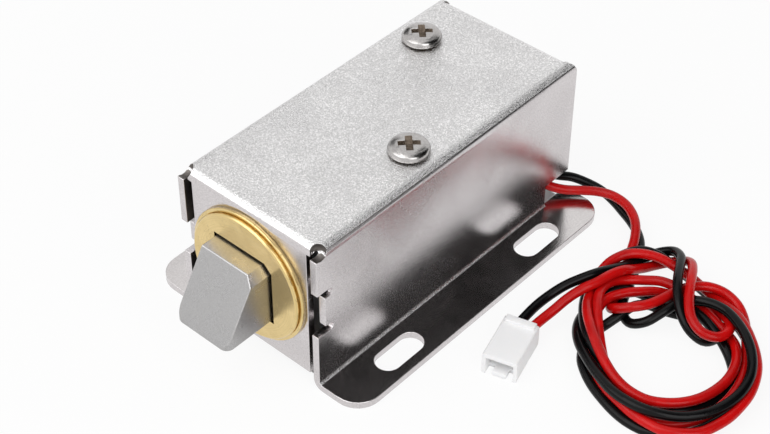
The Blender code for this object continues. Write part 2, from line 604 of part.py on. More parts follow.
def build_yoke(finish):
    """U-shaped yoke: top strip that the screws hold, rear leg, bottom strip, and the pole plate in front."""
    inside = YOKE_BEND_INSIDE
    outside = inside + YOKE_SHEET
    half = YOKE_HALF_WIDTH
    outline = ([(YOKE_Y, YOKE_FOOT)]
               + arc((YOKE_REAR - outside, YOKE_FOOT + outside), outside, -90, 0)
               + arc((YOKE_REAR - outside, YOKE_TOP - outside), outside, 0, 90)
               + [(YOKE_Y, YOKE_TOP), (YOKE_Y, YOKE_TOP - YOKE_SHEET)]
               + arc((YOKE_REAR - outside, YOKE_TOP - outside), inside, 90, 0)
               + arc((YOKE_REAR - outside, YOKE_FOOT + outside), inside, 0, -90)
               + [(YOKE_Y, YOKE_FOOT + YOKE_SHEET)])
    yoke = add_object("yoke", prism(outline, "X", -half, half), finish)
    holes = bmesh.new()
    for x, y in (RIGHT_SCREW, LEFT_SCREW):
        add_prism(holes, arc((x, FRONT_Y + y), SCREW_SHANK / 2 + TOUCH, 0, 345, 23), "Z",
                  YOKE_TOP - 2 * YOKE_SHEET, YOKE_TOP + SHEET)
    add_prism(holes, arc((0.0, AXIS_HEIGHT), CORE_SPIGOT_DIAMETER / 2 + TOUCH, 0, 345, 23), "Y",
              LEG_INNER - SHEET, YOKE_REAR + SHEET)
    width, height = YOKE_LEAD_NOTCH
    base = YOKE_FOOT + outside
    add_prism(holes, rectangle(half - width, half + SHEET, base, base + height), "Y",
              LEG_INNER - SHEET, YOKE_REAR + SHEET)
    cut(yoke, add_object("yoke_holes", holes))

    low = YOKE_FOOT + YOKE_SHEET + TOUCH
    high = YOKE_TOP - YOKE_SHEET - TOUCH
    blank = prism(rectangle(-half, half, low, high), "Y", POLE_FRONT, POLE_REAR)
    plate = add_object("pole_plate", blank, finish)
    bore = prism(arc((0.0, AXIS_HEIGHT), SLEEVE_BORE, 0, 351, 39), "Y", POLE_FRONT - SHEET, POLE_REAR + SHEET)
    cut(plate, add_object("pole_plate_bore", bore))


def build_coil(spool, copper, tape, brass, steel):
    """Bobbin, winding, insulating wrap, guide sleeve and the fixed core inside it."""
    half = YOKE_HALF_WIDTH - BOBBIN_SIDE_INSET
    tube = SLEEVE_BORE + BOBBIN_WALL
    bobbin = add_object("bobbin", turned([(0.0, BOBBIN_FRONT), (tube, BOBBIN_FRONT), (tube, BOBBIN_REAR),
                                          (0.0, BOBBIN_REAR)]), spool, AXIS)
    low = AXIS_HEIGHT - BOBBIN_HALF_HEIGHT
    high = AXIS_HEIGHT + BOBBIN_HALF_HEIGHT
    cheek = rounded_rectangle(-half, half, low, high, (BOBBIN_CORNER,) * 4)
    front = prism(cheek, "Y", BOBBIN_FRONT, BOBBIN_FRONT + BOBBIN_FLANGE)
    rear = prism(cheek, "Y", BOBBIN_REAR - BOBBIN_FLANGE, BOBBIN_REAR)
    add_boolean(bobbin, add_object("front_cheek", front), "UNION")
    add_boolean(bobbin, add_object("rear_cheek", rear), "UNION")
    bore = prism(arc((0.0, AXIS_HEIGHT), SLEEVE_BORE, 0, 351, 39), "Y",
                 BOBBIN_FRONT - SHEET, BOBBIN_REAR + SHEET)
    cut(bobbin, add_object("bobbin_bore", bore))

    start = BOBBIN_FRONT + BOBBIN_FLANGE + TOUCH
    end = BOBBIN_REAR - BOBBIN_FLANGE - TOUCH
    inner = tube + TOUCH
    outer = inner + WINDING_DEPTH
    winding = [(inner, start), (outer, start), (outer, end), (inner, end)]
    add_object("coil_winding", turned(winding), copper, AXIS)
    wrap = outer + TOUCH
    cover = wrap + TAPE_THICKNESS
    add_object("coil_tape", turned([(wrap, start), (cover, start), (cover, end), (wrap, end)]), tape, AXIS)
    sleeve = [(SLEEVE_INNER, POLE_FRONT), (SLEEVE_OUTER, POLE_FRONT), (SLEEVE_OUTER, BOBBIN_REAR),
              (SLEEVE_INNER, BOBBIN_REAR)]
    add_object("guide_sleeve", turned(sleeve), brass, AXIS)

    radius = PLUNGER_DIAMETER / 2
    spigot = CORE_SPIGOT_DIAMETER / 2
    head = CORE_HEAD_DIAMETER / 2
    edge = CORE_EDGE
    profile = [(0.0, CORE_FACE), (radius - edge, CORE_FACE), (radius, CORE_FACE + edge),
               (radius, BOBBIN_REAR), (spigot, BOBBIN_REAR), (spigot, YOKE_REAR + TOUCH),
               (head, YOKE_REAR + TOUCH),
               (head - edge, YOKE_REAR + TOUCH + CORE_HEAD), (0.0, YOKE_REAR + TOUCH + CORE_HEAD)]
    add_object("fixed_core", turned(profile), steel, AXIS)


def housing_place(along, across, height):
    """Point given in the connector's own directions, from the middle of its rear face's foot."""
    forward = Vector((math.cos(HOUSING_HEADING), math.sin(HOUSING_HEADING), 0.0))
    right = Vector((-forward.y, forward.x, 0.0))
    rear = Vector((HOUSING_REAR[0], FRONT_Y + HOUSING_REAR[1], 0.0))
    return rear + forward * along + right * across + Vector((0.0, 0.0, height))


def place_on_connector(bm):
    """Move a solid from the connector's own directions, Y forward, to where the connector lies."""
    turn = Matrix.Rotation(HOUSING_HEADING - math.pi / 2, 4, "Z")
    move = Matrix.Translation(housing_place(0.0, 0.0, 0.0))
    bmesh.ops.transform(bm, matrix=move @ turn, verts=bm.verts)
    return bm


def build_connector(plastic, tin):
    """Two-way crimp housing that lies on the floor, with a contact in each cavity."""
    half = HOUSING_WIDTH / 2
    rim_rise, rim_length = HOUSING_RIM
    body = rounded_rectangle(-half, half, 0.0, HOUSING_HEIGHT, (HOUSING_CORNER,) * 4)
    block = place_on_connector(prism(body, "Y", 0.0, HOUSING_LENGTH))
    housing = add_object("connector_housing", block, plastic)
    rim_half = half - HOUSING_RIM_INSET
    rim = box((-rim_half, 0.0, HOUSING_HEIGHT - rim_rise), (rim_half, rim_length, HOUSING_HEIGHT + rim_rise))
    add_boolean(housing, add_object("housing_rim", place_on_connector(rim)), "UNION")
    mouth_width, mouth_height, mouth_depth = HOUSING_MOUTH
    key_width, key_length = HOUSING_KEY
    base = (HOUSING_HEIGHT - mouth_height) / 2
    mouth = box((-mouth_width / 2, HOUSING_LENGTH - mouth_depth, base),
                (mouth_width / 2, HOUSING_LENGTH + SHEET, base + mouth_height))
    cut(housing, add_object("housing_mouth", place_on_connector(mouth)))
    keys = bmesh.new()
    for side in (-1, 1):
        edges = sorted((side * (mouth_width / 2 - key_width), side * (mouth_width / 2 - HOUSING_KEY_INSET)))
        key = rectangle(edges[0], edges[1], HOUSING_LENGTH - key_length, HOUSING_LENGTH + SHEET)
        add_prism(keys, key, "Z", -SHEET, base + mouth_height / 2)
    cut(housing, add_object("housing_keys", place_on_connector(keys)))
    contact_width, contact_height, contact_length = CONTACT_SIZE
    cavities = bmesh.new()
    middle = HOUSING_HEIGHT / 2
    for side in (-1, 1):
        x = side * CONTACT_PITCH / 2
        wide = contact_width / 2 + TOUCH
        tall = contact_height / 2 + TOUCH
        add_prism(cavities, rectangle(x - wide, x + wide, middle - tall, middle + tall), "Y",
                  -SHEET, HOUSING_LENGTH - mouth_depth + SHEET)
    cut(housing, add_object("contact_cavities", place_on_connector(cavities)))
    for name, side in (("black_contact", -1), ("red_contact", 1)):
        x = side * CONTACT_PITCH / 2
        contact = prism(rectangle(x - contact_width / 2, x + contact_width / 2, middle - contact_height / 2,
                                  middle + contact_height / 2), "Y", TOUCH, TOUCH + contact_length)
        add_object(name, place_on_connector(contact), tin)


# Routes of the leads outside their coil, in millimetres: x, y from the front plate's outer face, and z.
# The first points, inside the lock, are given from the yoke's right edge and from the coil's axis.
RED_IN_LOCK = [(-1.3, 48.3, -6.05), (-1.2, 50.4, -7.45)]
RED_FROM_LOCK = [(10.7, 51.9, 4.7), (12.5, 53.1, 3.3), (14.5, 54.6, 2.7), (16.5, 56.3, 2.6),
                 (18.7, 57.7, 2.7), (21.1, 58.4, 2.8), (23.7, 58.2, 2.7), (26, 57, 2.6), (27.8, 55.2, 2.5),
                 (29.1, 53.1, 2.2)]
RED_TO_CONNECTOR = [(30.4, 34.6, 3.9), (29.7, 32, 2.8), (29.2, 29.5, 2.1), (29.1, 27, 1.9)]
BLACK_IN_LOCK = [(-1.3, 48.3, -4.05), (-1.3, 50.7, -4.85), (-1.1, 52.3, -6.6)]
BLACK_FROM_LOCK = [(10.5, 53.6, 5.3), (11.8, 55.3, 3.8), (13.7, 57.5, 3), (15.9, 58.7, 2.3),
                   (18.3, 59.3, 1.7), (20.9, 59.1, 1.1), (23.3, 58.3, 0.8), (25.7, 57.2, 0.8),
                   (27.9, 55.8, 0.8), (29.9, 53.75, 0.8)]
BLACK_TO_CONNECTOR = [(29.1, 37.8, 4.15), (28.4, 36.4, 3.8), (27.5, 34.1, 3), (27, 31.6, 2.4),
                      (27, 29, 2.1), (27.2, 26.4, 1.9)]


def lay(points, inside=()):
    """Route points in the lock's frame, those inside the lock first."""
    start = Vector((YOKE_HALF_WIDTH, FRONT_Y, AXIS_HEIGHT))
    floor = Vector((0.0, FRONT_Y, 0.0))
    return [start + Vector(point) * mm for point in inside] + [floor + Vector(point) * mm for point in points]


def build_leads(red, black):
    """Both leads: the stretches outside the coil as tubes, the coiled stretch as one plain ring."""
    spacing = LEAD_POINTS_EVERY * LEAD_DIAMETER
    for colour, finish, inside, outward, homeward in (
            ("red", red, RED_IN_LOCK, RED_FROM_LOCK, RED_TO_CONNECTOR),
            ("black", black, BLACK_IN_LOCK, BLACK_FROM_LOCK, BLACK_TO_CONNECTOR)):
        add_tube(colour + "_lead", smooth_route(lay(outward, inside), spacing), LEAD_DIAMETER, finish)
        add_tube(colour + "_lead_end", smooth_route(lay(homeward), spacing), LEAD_DIAMETER, finish)

    edge = COIL_HEIGHT / 3
    inner = COIL_LONG_HALF - COIL_BAND
    section = [(inner + edge, 0.0), (COIL_LONG_HALF - edge, 0.0), (COIL_LONG_HALF, edge),
               (COIL_LONG_HALF, COIL_HEIGHT - edge), (COIL_LONG_HALF - edge, COIL_HEIGHT),
               (inner + edge, COIL_HEIGHT), (inner, COIL_HEIGHT - edge), (inner, edge)]
    ring = turned(section, 36, "Z", Vector())
    bmesh.ops.scale(ring, vec=(1.0, COIL_SHORT_HALF / COIL_LONG_HALF, 1.0), verts=ring.verts)
    turn = Matrix.Rotation(COIL_TURN, 4, "Z")
    move = Matrix.Translation((COIL_CENTRE[0], FRONT_Y + COIL_CENTRE[1], 0.0))
    bmesh.ops.transform(ring, matrix=move @ turn, verts=ring.verts)
    add_object("lead_coil", ring, red)


def main():
    """Build every piece of the lock."""
    clear_scene()
    nickel = material("nickel_plate", (0.74, 0.73, 0.73), 0.22, 1.0)
    brass = material("brass", (0.80, 0.62, 0.30), 0.25, 1.0)
    bolt_metal = material("bolt_metal", (0.45, 0.45, 0.46), 0.45, 1.0)
    steel = material("steel", (0.55, 0.55, 0.56), 0.35, 1.0)
    spring_steel = material("spring_steel", (0.60, 0.60, 0.62), 0.30, 1.0)
    spool = material("spool_plastic", (0.05, 0.05, 0.05), 0.5)
    copper = material("copper", (0.72, 0.36, 0.18), 0.35, 1.0)
    tape = material("tape", (0.80, 0.62, 0.10), 0.4)
    red = material("red_insulation", (0.75, 0.03, 0.03), 0.3)
    black = material("black_insulation", (0.02, 0.02, 0.02), 0.3)
    plastic = material("white_plastic", (0.88, 0.88, 0.86), 0.4)
    tin = material("tin", (0.70, 0.70, 0.70), 0.3, 1.0)

    build_case(nickel)
    build_screw("right_screw", RIGHT_SCREW, nickel)
    build_screw("left_screw", LEFT_SCREW, nickel)
    build_bush(brass)
    build_bolt(bolt_metal)
    add_object("bolt_pin", pin_solid(PIN_DIAMETER / 2, BOLT_WIDTH / 2 - TOUCH), steel,
               Vector((0.0, PIN_Y, AXIS_HEIGHT)))
    build_plunger(steel)
    build_spring(spring_steel)
    build_yoke(steel)
    build_coil(spool, copper, tape, brass, steel)
    build_leads(red, black)
    build_connector(plastic, tin)


main()
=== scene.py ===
"""Looks of a small solenoid lock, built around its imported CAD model.

Frame: metres, X across the case, +Y from the bolt towards the rear, +Z up. The origin lies on the
floor under the middle of the lock, so the front plate's outer face is at Y = FACE_Y.
"""
import logging
import math
from dataclasses import dataclass
from enum import Enum
from typing import Any

import bmesh
import bpy
import numpy as np
from bpy.types import Material, Mesh, Node, NodeSocket, NodeTree, Object
from mathutils import Matrix, Vector


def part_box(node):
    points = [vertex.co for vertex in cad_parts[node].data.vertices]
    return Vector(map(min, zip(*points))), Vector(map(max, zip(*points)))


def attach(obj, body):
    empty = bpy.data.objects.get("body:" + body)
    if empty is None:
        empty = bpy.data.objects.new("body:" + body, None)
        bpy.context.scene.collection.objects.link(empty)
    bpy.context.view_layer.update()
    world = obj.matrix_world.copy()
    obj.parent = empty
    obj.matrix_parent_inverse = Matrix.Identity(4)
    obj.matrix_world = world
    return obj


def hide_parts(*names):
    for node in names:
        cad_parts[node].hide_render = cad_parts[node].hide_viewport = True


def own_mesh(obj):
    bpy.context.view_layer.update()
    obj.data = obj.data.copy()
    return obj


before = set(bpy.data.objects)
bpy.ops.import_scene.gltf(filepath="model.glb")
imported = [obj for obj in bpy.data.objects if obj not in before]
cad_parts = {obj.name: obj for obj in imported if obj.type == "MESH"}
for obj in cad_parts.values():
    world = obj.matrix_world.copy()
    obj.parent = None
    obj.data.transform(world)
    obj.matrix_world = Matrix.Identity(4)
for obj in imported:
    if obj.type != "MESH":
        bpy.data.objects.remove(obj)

logging.basicConfig(level=logging.INFO, format="%(message)s")
log = logging.getLogger("solenoid_lock")

MM = 0.001
FACE_Y = -23.35 * MM
CAD_TOP = 26.1 * MM
AXIS_HEIGHT = 14.05 * MM
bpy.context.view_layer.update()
Point = tuple[float, float, float]
Colour = Point
ORIGIN: Point = (0.0, 0.0, 0.0)
WHITE = (1.0, 1.0, 1.0, 1.0)
FLOAT = "NodeSocketFloat"

# Routes of the leads from the coil inside the lock to their connector, in millimetres, with y from
# the front plate's outer face.
RED_ROUTE: list[Point] = [
    (9.7, 48.3, 8), (9.8, 50.4, 6.6), (10.7, 51.9, 4.7), (12.5, 53.1, 3.3), (14.5, 54.6, 2.7),
    (16.5, 56.3, 2.6), (18.7, 57.7, 2.7), (21.1, 58.4, 2.8), (23.7, 58.2, 2.7), (26, 57, 2.6),
    (27.8, 55.2, 2.5), (29.2, 53, 2.2), (30.2, 50.7, 1.8), (31.2, 48.3, 1.4), (32.1, 45.9, 1),
    (33, 43.5, 0.8), (34, 41.1, 0.8), (35, 38.9, 1.7), (36.5, 37.8, 3.4), (38.6, 38.7, 4.4),
    (40.1, 40.8, 4.4), (40.9, 43.3, 4.3), (41.6, 45.8, 4.4), (42.7, 48.1, 4.4), (44.4, 50, 4.1),
    (46.7, 51, 3.6), (49.2, 50.7, 3), (51.3, 49.3, 2.5), (52.9, 47.4, 2.2), (54.4, 45.2, 2),
    (55.8, 43, 1.8), (56.9, 40.7, 1.8), (57.6, 38.2, 1.7), (57.9, 35.6, 1.6), (57.7, 33.1, 1.4),
    (57, 30.6, 1.2), (55.9, 28.3, 1.2), (54.1, 26.4, 1.1), (51.8, 25.3, 1.1), (49.2, 24.9, 0.9),
    (46.7, 25.3, 0.8), (44.4, 26.4, 0.8), (42.3, 28, 1.1), (40.5, 29.7, 1.8), (38.7, 31.3, 2.7),
    (36.9, 33.1, 3.5), (35.3, 35, 4), (33.8, 37.1, 4.1), (32.8, 39.5, 3.8), (32.8, 42, 3.4),
    (34.1, 44.2, 3), (36.1, 45.9, 3), (38.3, 47.1, 3.3), (40.9, 47.6, 3.2), (43.4, 47.5, 2.8),
    (46, 47.1, 2.5), (48.4, 46.3, 2.3), (50.9, 45.5, 2.1), (53.1, 44.2, 2.3), (54.7, 42.2, 2.5),
    (55.7, 39.8, 2.5), (56.1, 37.3, 2.5), (55.9, 34.7, 2.5), (55.2, 32.2, 2.5), (53.9, 30, 2.5),
    (52.1, 28.1, 2.6), (49.9, 26.8, 2.7), (47.4, 26.3, 3), (44.9, 26.5, 3.5), (42.5, 27.4, 4),
    (40.3, 28.7, 4.3), (38.2, 30.2, 4.5), (36.2, 31.9, 4.4), (34.4, 33.7, 4.2), (32.9, 35.8, 3.8),
    (31.8, 38.1, 3.4), (30.8, 40.5, 3.2), (30.2, 43, 3.3), (30.3, 45.5, 3.7), (31.4, 47.8, 4.1),
    (33.3, 49.5, 4.1), (35.6, 50.6, 3.8), (38.1, 51.1, 3.2), (40.6, 51.3, 2.7), (43.1, 50.9, 2.4),
    (45.7, 50.3, 2.4), (48.1, 49.5, 2.9), (50.4, 48.5, 3.4), (52.6, 47.2, 3.6), (54.7, 45.6, 3.5),
    (56.6, 43.9, 3.2), (58.2, 41.9, 3), (59.3, 39.6, 2.8), (60, 37.1, 2.6), (60.2, 34.5, 2.5),
    (60.1, 31.9, 2.4), (59.5, 29.4, 2.3), (58.5, 27.1, 2.2), (56.7, 25.2, 2.3), (54.4, 24, 2.3),
    (51.8, 23.7, 2.3), (49.3, 23.9, 2.2), (46.7, 24.5, 2.2), (44.3, 25.3, 2), (42, 26.5, 1.8),
    (40, 28.1, 1.5), (38.3, 30.1, 1.6), (36.8, 32.2, 1.9), (35.4, 34.3, 2.4), (34.3, 36.6, 2.6),
    (34.1, 39.1, 2.8), (35.3, 41.4, 3), (36.9, 43.5, 2.9), (38.5, 45.5, 2.5), (40.4, 47.1, 1.8),
    (42.7, 48.1, 1.5), (45.3, 48.4, 1.7), (47.7, 48.1, 2.3), (49.9, 47.1, 3.1), (51.4, 45.1, 3.7),
    (51.2, 42.6, 3.9), (49.2, 41.3, 4.4), (46.8, 42, 5), (45, 43.8, 5.6), (43.6, 46, 5.9),
    (42.4, 48.2, 5.8), (41.2, 50.4, 5.2), (39.8, 52.4, 4.2), (38, 53.5, 2.8), (35.9, 53, 1.6),
    (34.5, 50.9, 1.5), (34, 48.5, 2.3), (33.7, 46.2, 3.5), (33.3, 43.9, 4.7), (32.8, 41.4, 5.2),
    (32.2, 38.9, 5.1), (31.2, 36.6, 4.7), (30.3, 34.3, 3.8), (29.7, 32, 2.8), (29.2, 29.5, 2.1),
    (29.1, 27, 1.9),
]
BLACK_ROUTE: list[Point] = [
    (9.7, 48.3, 10), (9.7, 50.7, 9.2), (9.9, 52.3, 7.45), (10.5, 53.6, 5.3), (11.8, 55.3, 3.8),
    (13.7, 57.5, 3), (15.9, 58.7, 2.3), (18.3, 59.3, 1.7), (20.9, 59.1, 1.1), (23.3, 58.3, 0.8),
    (25.7, 57.2, 0.8), (27.9, 55.8, 0.8), (29.7, 54, 0.8), (31, 51.7, 0.8), (32.2, 49.4, 0.8),
    (33.2, 47, 0.8), (34.1, 44.6, 0.8), (35.1, 42.1, 0.8), (36.5, 40, 0.8), (38.7, 38.8, 1.1),
    (40.8, 39.6, 2.2), (41.9, 41.8, 3.1), (42.8, 44.2, 3.7), (44.4, 46.1, 4.1), (46.8, 47, 4.5),
    (49.4, 46.9, 4.8), (51.8, 46, 4.9), (54.1, 44.7, 4.8), (56.1, 43.1, 4.5), (57.7, 41.1, 4.2),
    (58.8, 38.8, 4), (59.3, 36.2, 3.8), (59.1, 33.7, 3.5), (58.3, 31.2, 3.2), (57, 28.9, 3.1),
    (55.3, 27, 3.1), (53.2, 25.4, 3.4), (50.9, 24.4, 3.6), (48.3, 24, 3.7), (45.7, 24.3, 3.6),
    (43.3, 25.2, 3.4), (41, 26.3, 3.2), (38.7, 27.7, 2.9), (36.6, 29.2, 2.5), (34.8, 31, 2),
    (33.4, 33.1, 1.4), (32.5, 35.4, 0.9), (32.3, 38, 1.1), (33, 40.4, 1.9), (34.3, 42.5, 2.3),
    (36.2, 44.2, 1.7), (38.5, 45.2, 1), (41, 45.8, 1.4), (43.4, 46, 2.2), (45.9, 45.5, 2.7),
    (48.4, 44.8, 2.6), (50.8, 43.9, 2.1), (53, 42.8, 1.4), (55, 41.1, 0.9), (56.3, 38.9, 0.8),
    (56.6, 36.3, 0.8), (56.3, 33.8, 0.9), (55.3, 31.4, 1), (53.7, 29.3, 1.1), (51.7, 27.7, 1.1),
    (49.2, 26.9, 1.3), (46.7, 26.7, 1.7), (44.2, 27.2, 2.2), (41.7, 28.1, 2.7), (39.4, 29.2, 3),
    (37.2, 30.5, 3.1), (35.2, 32.2, 2.9), (33.5, 34.2, 2.6), (32, 36.3, 2.3), (30.8, 38.6, 2),
    (30, 41, 1.8), (29.6, 43.6, 1.9), (29.6, 46.1, 2.4), (30.5, 48.5, 3), (32.2, 50.4, 3.5),
    (34.5, 51.6, 3.1), (36.9, 52, 2.4), (39.4, 52.1, 1.6), (41.9, 51.8, 1.1), (44.5, 51.3, 0.9),
    (46.9, 50.5, 0.8), (49.4, 49.6, 0.8), (51.7, 48.5, 0.8), (53.9, 47, 0.8), (55.8, 45.2, 0.9),
    (57.3, 43.1, 1.1), (58.4, 40.7, 1.2), (59.1, 38.2, 1.3), (59.3, 35.6, 1.3), (59.2, 33, 1.3),
    (58.6, 30.5, 1.2), (57.7, 28.1, 1), (56.2, 25.9, 0.9), (54.2, 24.3, 0.8), (51.8, 23.4, 0.8),
    (49.2, 23.2, 0.8), (46.7, 23.6, 0.8), (44.2, 24.4, 0.8), (41.8, 25.4, 0.8), (39.5, 26.8, 0.8),
    (37.6, 28.5, 0.8), (36.3, 30.8, 0.8), (35.7, 33.3, 0.8), (36.2, 35.8, 1.1), (37, 38.1, 1.9),
    (37.7, 40.6, 2.5), (38.9, 42.8, 2), (40.9, 44.1, 1.2), (43.2, 45.4, 0.8), (45.5, 46.6, 0.8),
    (48, 46.9, 0.8), (49.6, 45, 0.8), (49, 42.6, 1.5), (47.1, 41.7, 2.9), (45, 42.3, 4.2),
    (43.2, 43.8, 5.3), (41.6, 45.8, 5.8), (40.3, 48, 5.6), (39.1, 50.3, 5.1), (37.8, 52.4, 4.4),
    (35.8, 53.7, 3.3), (33.7, 53, 2.2), (32.7, 50.7, 2), (32.4, 48.2, 2.6), (32.1, 45.8, 3.4),
    (31.6, 43.3, 4.2), (30.8, 40.9, 4.7), (29.6, 38.6, 4.4), (28.4, 36.4, 3.8), (27.5, 34.1, 3),
    (27, 31.6, 2.4), (27, 29, 2.1), (27.2, 26.4, 1.9),
]


class Tree:
    """A node tree with a short way to add and join its nodes."""

    def __init__(self, tree: NodeTree) -> None:
        """Keep the tree that the nodes go into."""
        self.tree = tree

    def add(self, kind: str, settings: dict[str, Any] | None = None, **inputs: Any) -> Node:
        """Add one node.

        Args:
            kind: Blender's node type, where a leading ShaderNode is left out.
            settings: properties of the node itself.
            inputs: values and sockets for its inputs, or nodes, which stand for their first output;
                an underscore stands for a space, and i0 means the first input.

        Returns:
            The new node.
        """
        node = self.tree.nodes.new(kind if kind.startswith("Geometry") else "ShaderNode" + kind)
        for key, value in (settings or {}).items():
            setattr(node, key, value)
        for key, value in inputs.items():
            numbered = key[0] == "i" and key[1:].isdigit()
            socket = node.inputs[int(key[1:])] if numbered else node.inputs[key.replace("_", " ")]
            if isinstance(value, (Node, NodeSocket)):
                self.join(value, socket)
            else:
                socket.default_value = value
        return node

    def join(self, value: Any, socket: NodeSocket) -> None:
        """Link an output, or a node's first output, to an input."""
        self.tree.links.new(value.outputs[0] if isinstance(value, Node) else value, socket)

    def math(self, operation: str, *values: Any, clamp: bool = False) -> NodeSocket:
        """Add a Math node.

        Args:
            operation: Blender's name of the operation.
            values: numbers or sockets, in order.
            clamp: whether the result is kept from 0 to 1.

        Returns:
            The result's socket.
        """
        inputs = {f"i{place}": value for place, value in enumerate(values)}
        return self.add("Math", {"operation": operation, "use_clamp": clamp}, **inputs).outputs[0]

    def times(self, first: Any, second: Any) -> NodeSocket:
        """Multiply two numbers or sockets."""
        return self.math("MULTIPLY", first, second)

    def inverse(self, value: Any) -> NodeSocket:
        """One minus a value."""
        return self.math("SUBTRACT", 1.0, value)

    def ramp(self, value: Any, low: float, high: float, start: float = 0.0,
             end: float = 1.0) -> NodeSocket:
        """Map a value smoothly from one range to another.

        Args:
            value: the socket that is read.
            low: value that gives start.
            high: value that gives end.
            start: result at low.
            end: result at high.

        Returns:
            The result's socket.
        """
        made = self.add("MapRange", {"interpolation_type": "SMOOTHSTEP"}, Value=value,
                        From_Min=low, From_Max=high, To_Min=start, To_Max=end)
        return made.outputs[0]

    def mix(self, share: Any, first: Any, second: Any) -> NodeSocket:
        """Mix two colours.

        Args:
            share: how much of the second colour there is.
            first: colour or socket.
            second: colour or socket.

        Returns:
            The mixed colour's socket.
        """
        pair = [(*value, 1.0) if isinstance(value, tuple) else value for value in (first, second)]
        return self.add("Mix", {"data_type": "RGBA"}, i0=share, i6=pair[0], i7=pair[1]).outputs[2]

    def effect(self, effect: "Effect", **inputs: Any) -> Node:
        """Place a shared effect with its own values."""
        return self.add("Group", {"node_tree": effect.value}, **inputs)


def new_group(name: str, kind: str, inputs: dict[str, Any], outputs: dict[str, str]) -> tuple[Tree, Any, Any]:
    """Start a node group with named sockets.

    Args:
        name: the group's name.
        kind: ShaderNodeTree or GeometryNodeTree.
        inputs: default value of each input; its type follows from the value, and a string is a type.
        outputs: socket type of each output.

    Returns:
        The tree, the sockets that it is given and those of its result.
    """
    made = bpy.data.node_groups.new(name, kind)
    kinds = {float: FLOAT, int: "NodeSocketInt", tuple: "NodeSocketVector"}
    for label, value in inputs.items():
        socket_type = value if isinstance(value, str) else kinds[type(value)]
        socket = made.interface.new_socket(label, in_out="INPUT", socket_type=socket_type)
        if not isinstance(value, str):
            socket.default_value = value
    for label, socket_type in outputs.items():
        made.interface.new_socket(label, in_out="OUTPUT", socket_type=socket_type)
    ends = made.nodes.new("NodeGroupInput"), made.nodes.new("NodeGroupOutput")
    return Tree(made), ends[0].outputs, ends[1].inputs


def grain_effect() -> NodeTree:
    """Fine speckled grain of a plated or cast surface.

    Returns:
        The effect's group.
    """
    tree, given, result = new_group("Fine Grain", "ShaderNodeTree",
                                    {"Vector": ORIGIN, "Grain Size": 0.0004, "Speckle": 0.5},
                                    {"Mask": FLOAT, "Height": FLOAT})
    scale = tree.math("DIVIDE", 1.0, given["Grain Size"])
    soft = tree.add("TexNoise", Vector=given["Vector"], Scale=scale, Detail=3.0, Roughness=0.65)
    cells = tree.add("TexVoronoi", Vector=given["Vector"], Scale=scale)
    spots = tree.times(tree.ramp(cells, 0.1, 0.45, 1.0, 0.0), given["Speckle"])
    noise = tree.ramp(soft, 0.36, 0.64)
    tree.join(tree.math("SUBTRACT", noise, spots, clamp=True), result["Mask"])
    tree.join(tree.math("ADD", noise, spots), result["Height"])
    return tree.tree


def wear_effect() -> NodeTree:
    """Worn, brighter places along a piece's edges.

    Returns:
        The effect's group.
    """
    tree, given, result = new_group("Edge Wear", "ShaderNodeTree",
                                    {"Vector": ORIGIN, "Edge Width": 0.0002, "Breakup Size": 0.001},
                                    {"Mask": FLOAT})
    smooth = tree.add("Bevel", {"samples": 4}, Radius=given["Edge Width"])
    face = tree.add("NewGeometry")
    turned = tree.add("VectorMath", {"operation": "DOT_PRODUCT"}, i0=smooth, i1=face.outputs["Normal"])
    edge = tree.ramp(turned.outputs["Value"], 0.995, 0.9)
    scale = tree.math("DIVIDE", 1.0, given["Breakup Size"])
    broken = tree.add("TexNoise", Vector=given["Vector"], Scale=scale, Detail=4.0)
    share = tree.ramp(broken, 0.35, 0.6)
    tree.join(tree.math("MULTIPLY", edge, share, clamp=True), result["Mask"])
    return tree.tree


def scratch_effect() -> NodeTree:
    """Sparse fine scratches, or brush lines, that run along the X axis of the given vector.

    Returns:
        The effect's group.
    """
    tree, given, result = new_group("Fine Scratches", "ShaderNodeTree",
                                    {"Vector": ORIGIN, "Line Width": 0.00008, "Line Length": 0.004,
                                     "Cover": 0.3},
                                    {"Mask": FLOAT})
    across = tree.math("DIVIDE", 1.0, given["Line Width"])
    along = tree.math("DIVIDE", 1.0, given["Line Length"])
    scale = tree.add("CombineXYZ", X=along, Y=across, Z=across)
    place = tree.add("VectorMath", {"operation": "MULTIPLY"}, i0=given["Vector"], i1=scale)
    lines = tree.add("TexNoise", Vector=place, Scale=1.0, Detail=2.0)
    edge = tree.math("SUBTRACT", 0.72, tree.times(given["Cover"], 0.3))
    mask = tree.add("MapRange", Value=lines, From_Min=edge,
                    From_Max=tree.math("ADD", edge, 0.08))
    tree.join(mask, result["Mask"])
    return tree.tree


def smudge_effect() -> NodeTree:
    """Large soft cloudy patches, as of handling and uneven plating.

    Returns:
        The effect's group.
    """
    tree, given, result = new_group("Smudges", "ShaderNodeTree", {"Vector": ORIGIN, "Patch Size": 0.006},
                                    {"Value": FLOAT})
    scale = tree.math("DIVIDE", 1.0, given["Patch Size"])
    clouds = tree.add("TexNoise", Vector=given["Vector"], Scale=scale, Detail=3.0,
                      Distortion=0.6)
    tree.join(tree.ramp(clouds, 0.3, 0.7), result["Value"])
    return tree.tree


class Effect(Enum):
    """Shared surface effects, each built once as a shader group."""

    GRAIN = grain_effect()
    WEAR = wear_effect()
    SCRATCHES = scratch_effect()
    SMUDGES = smudge_effect()


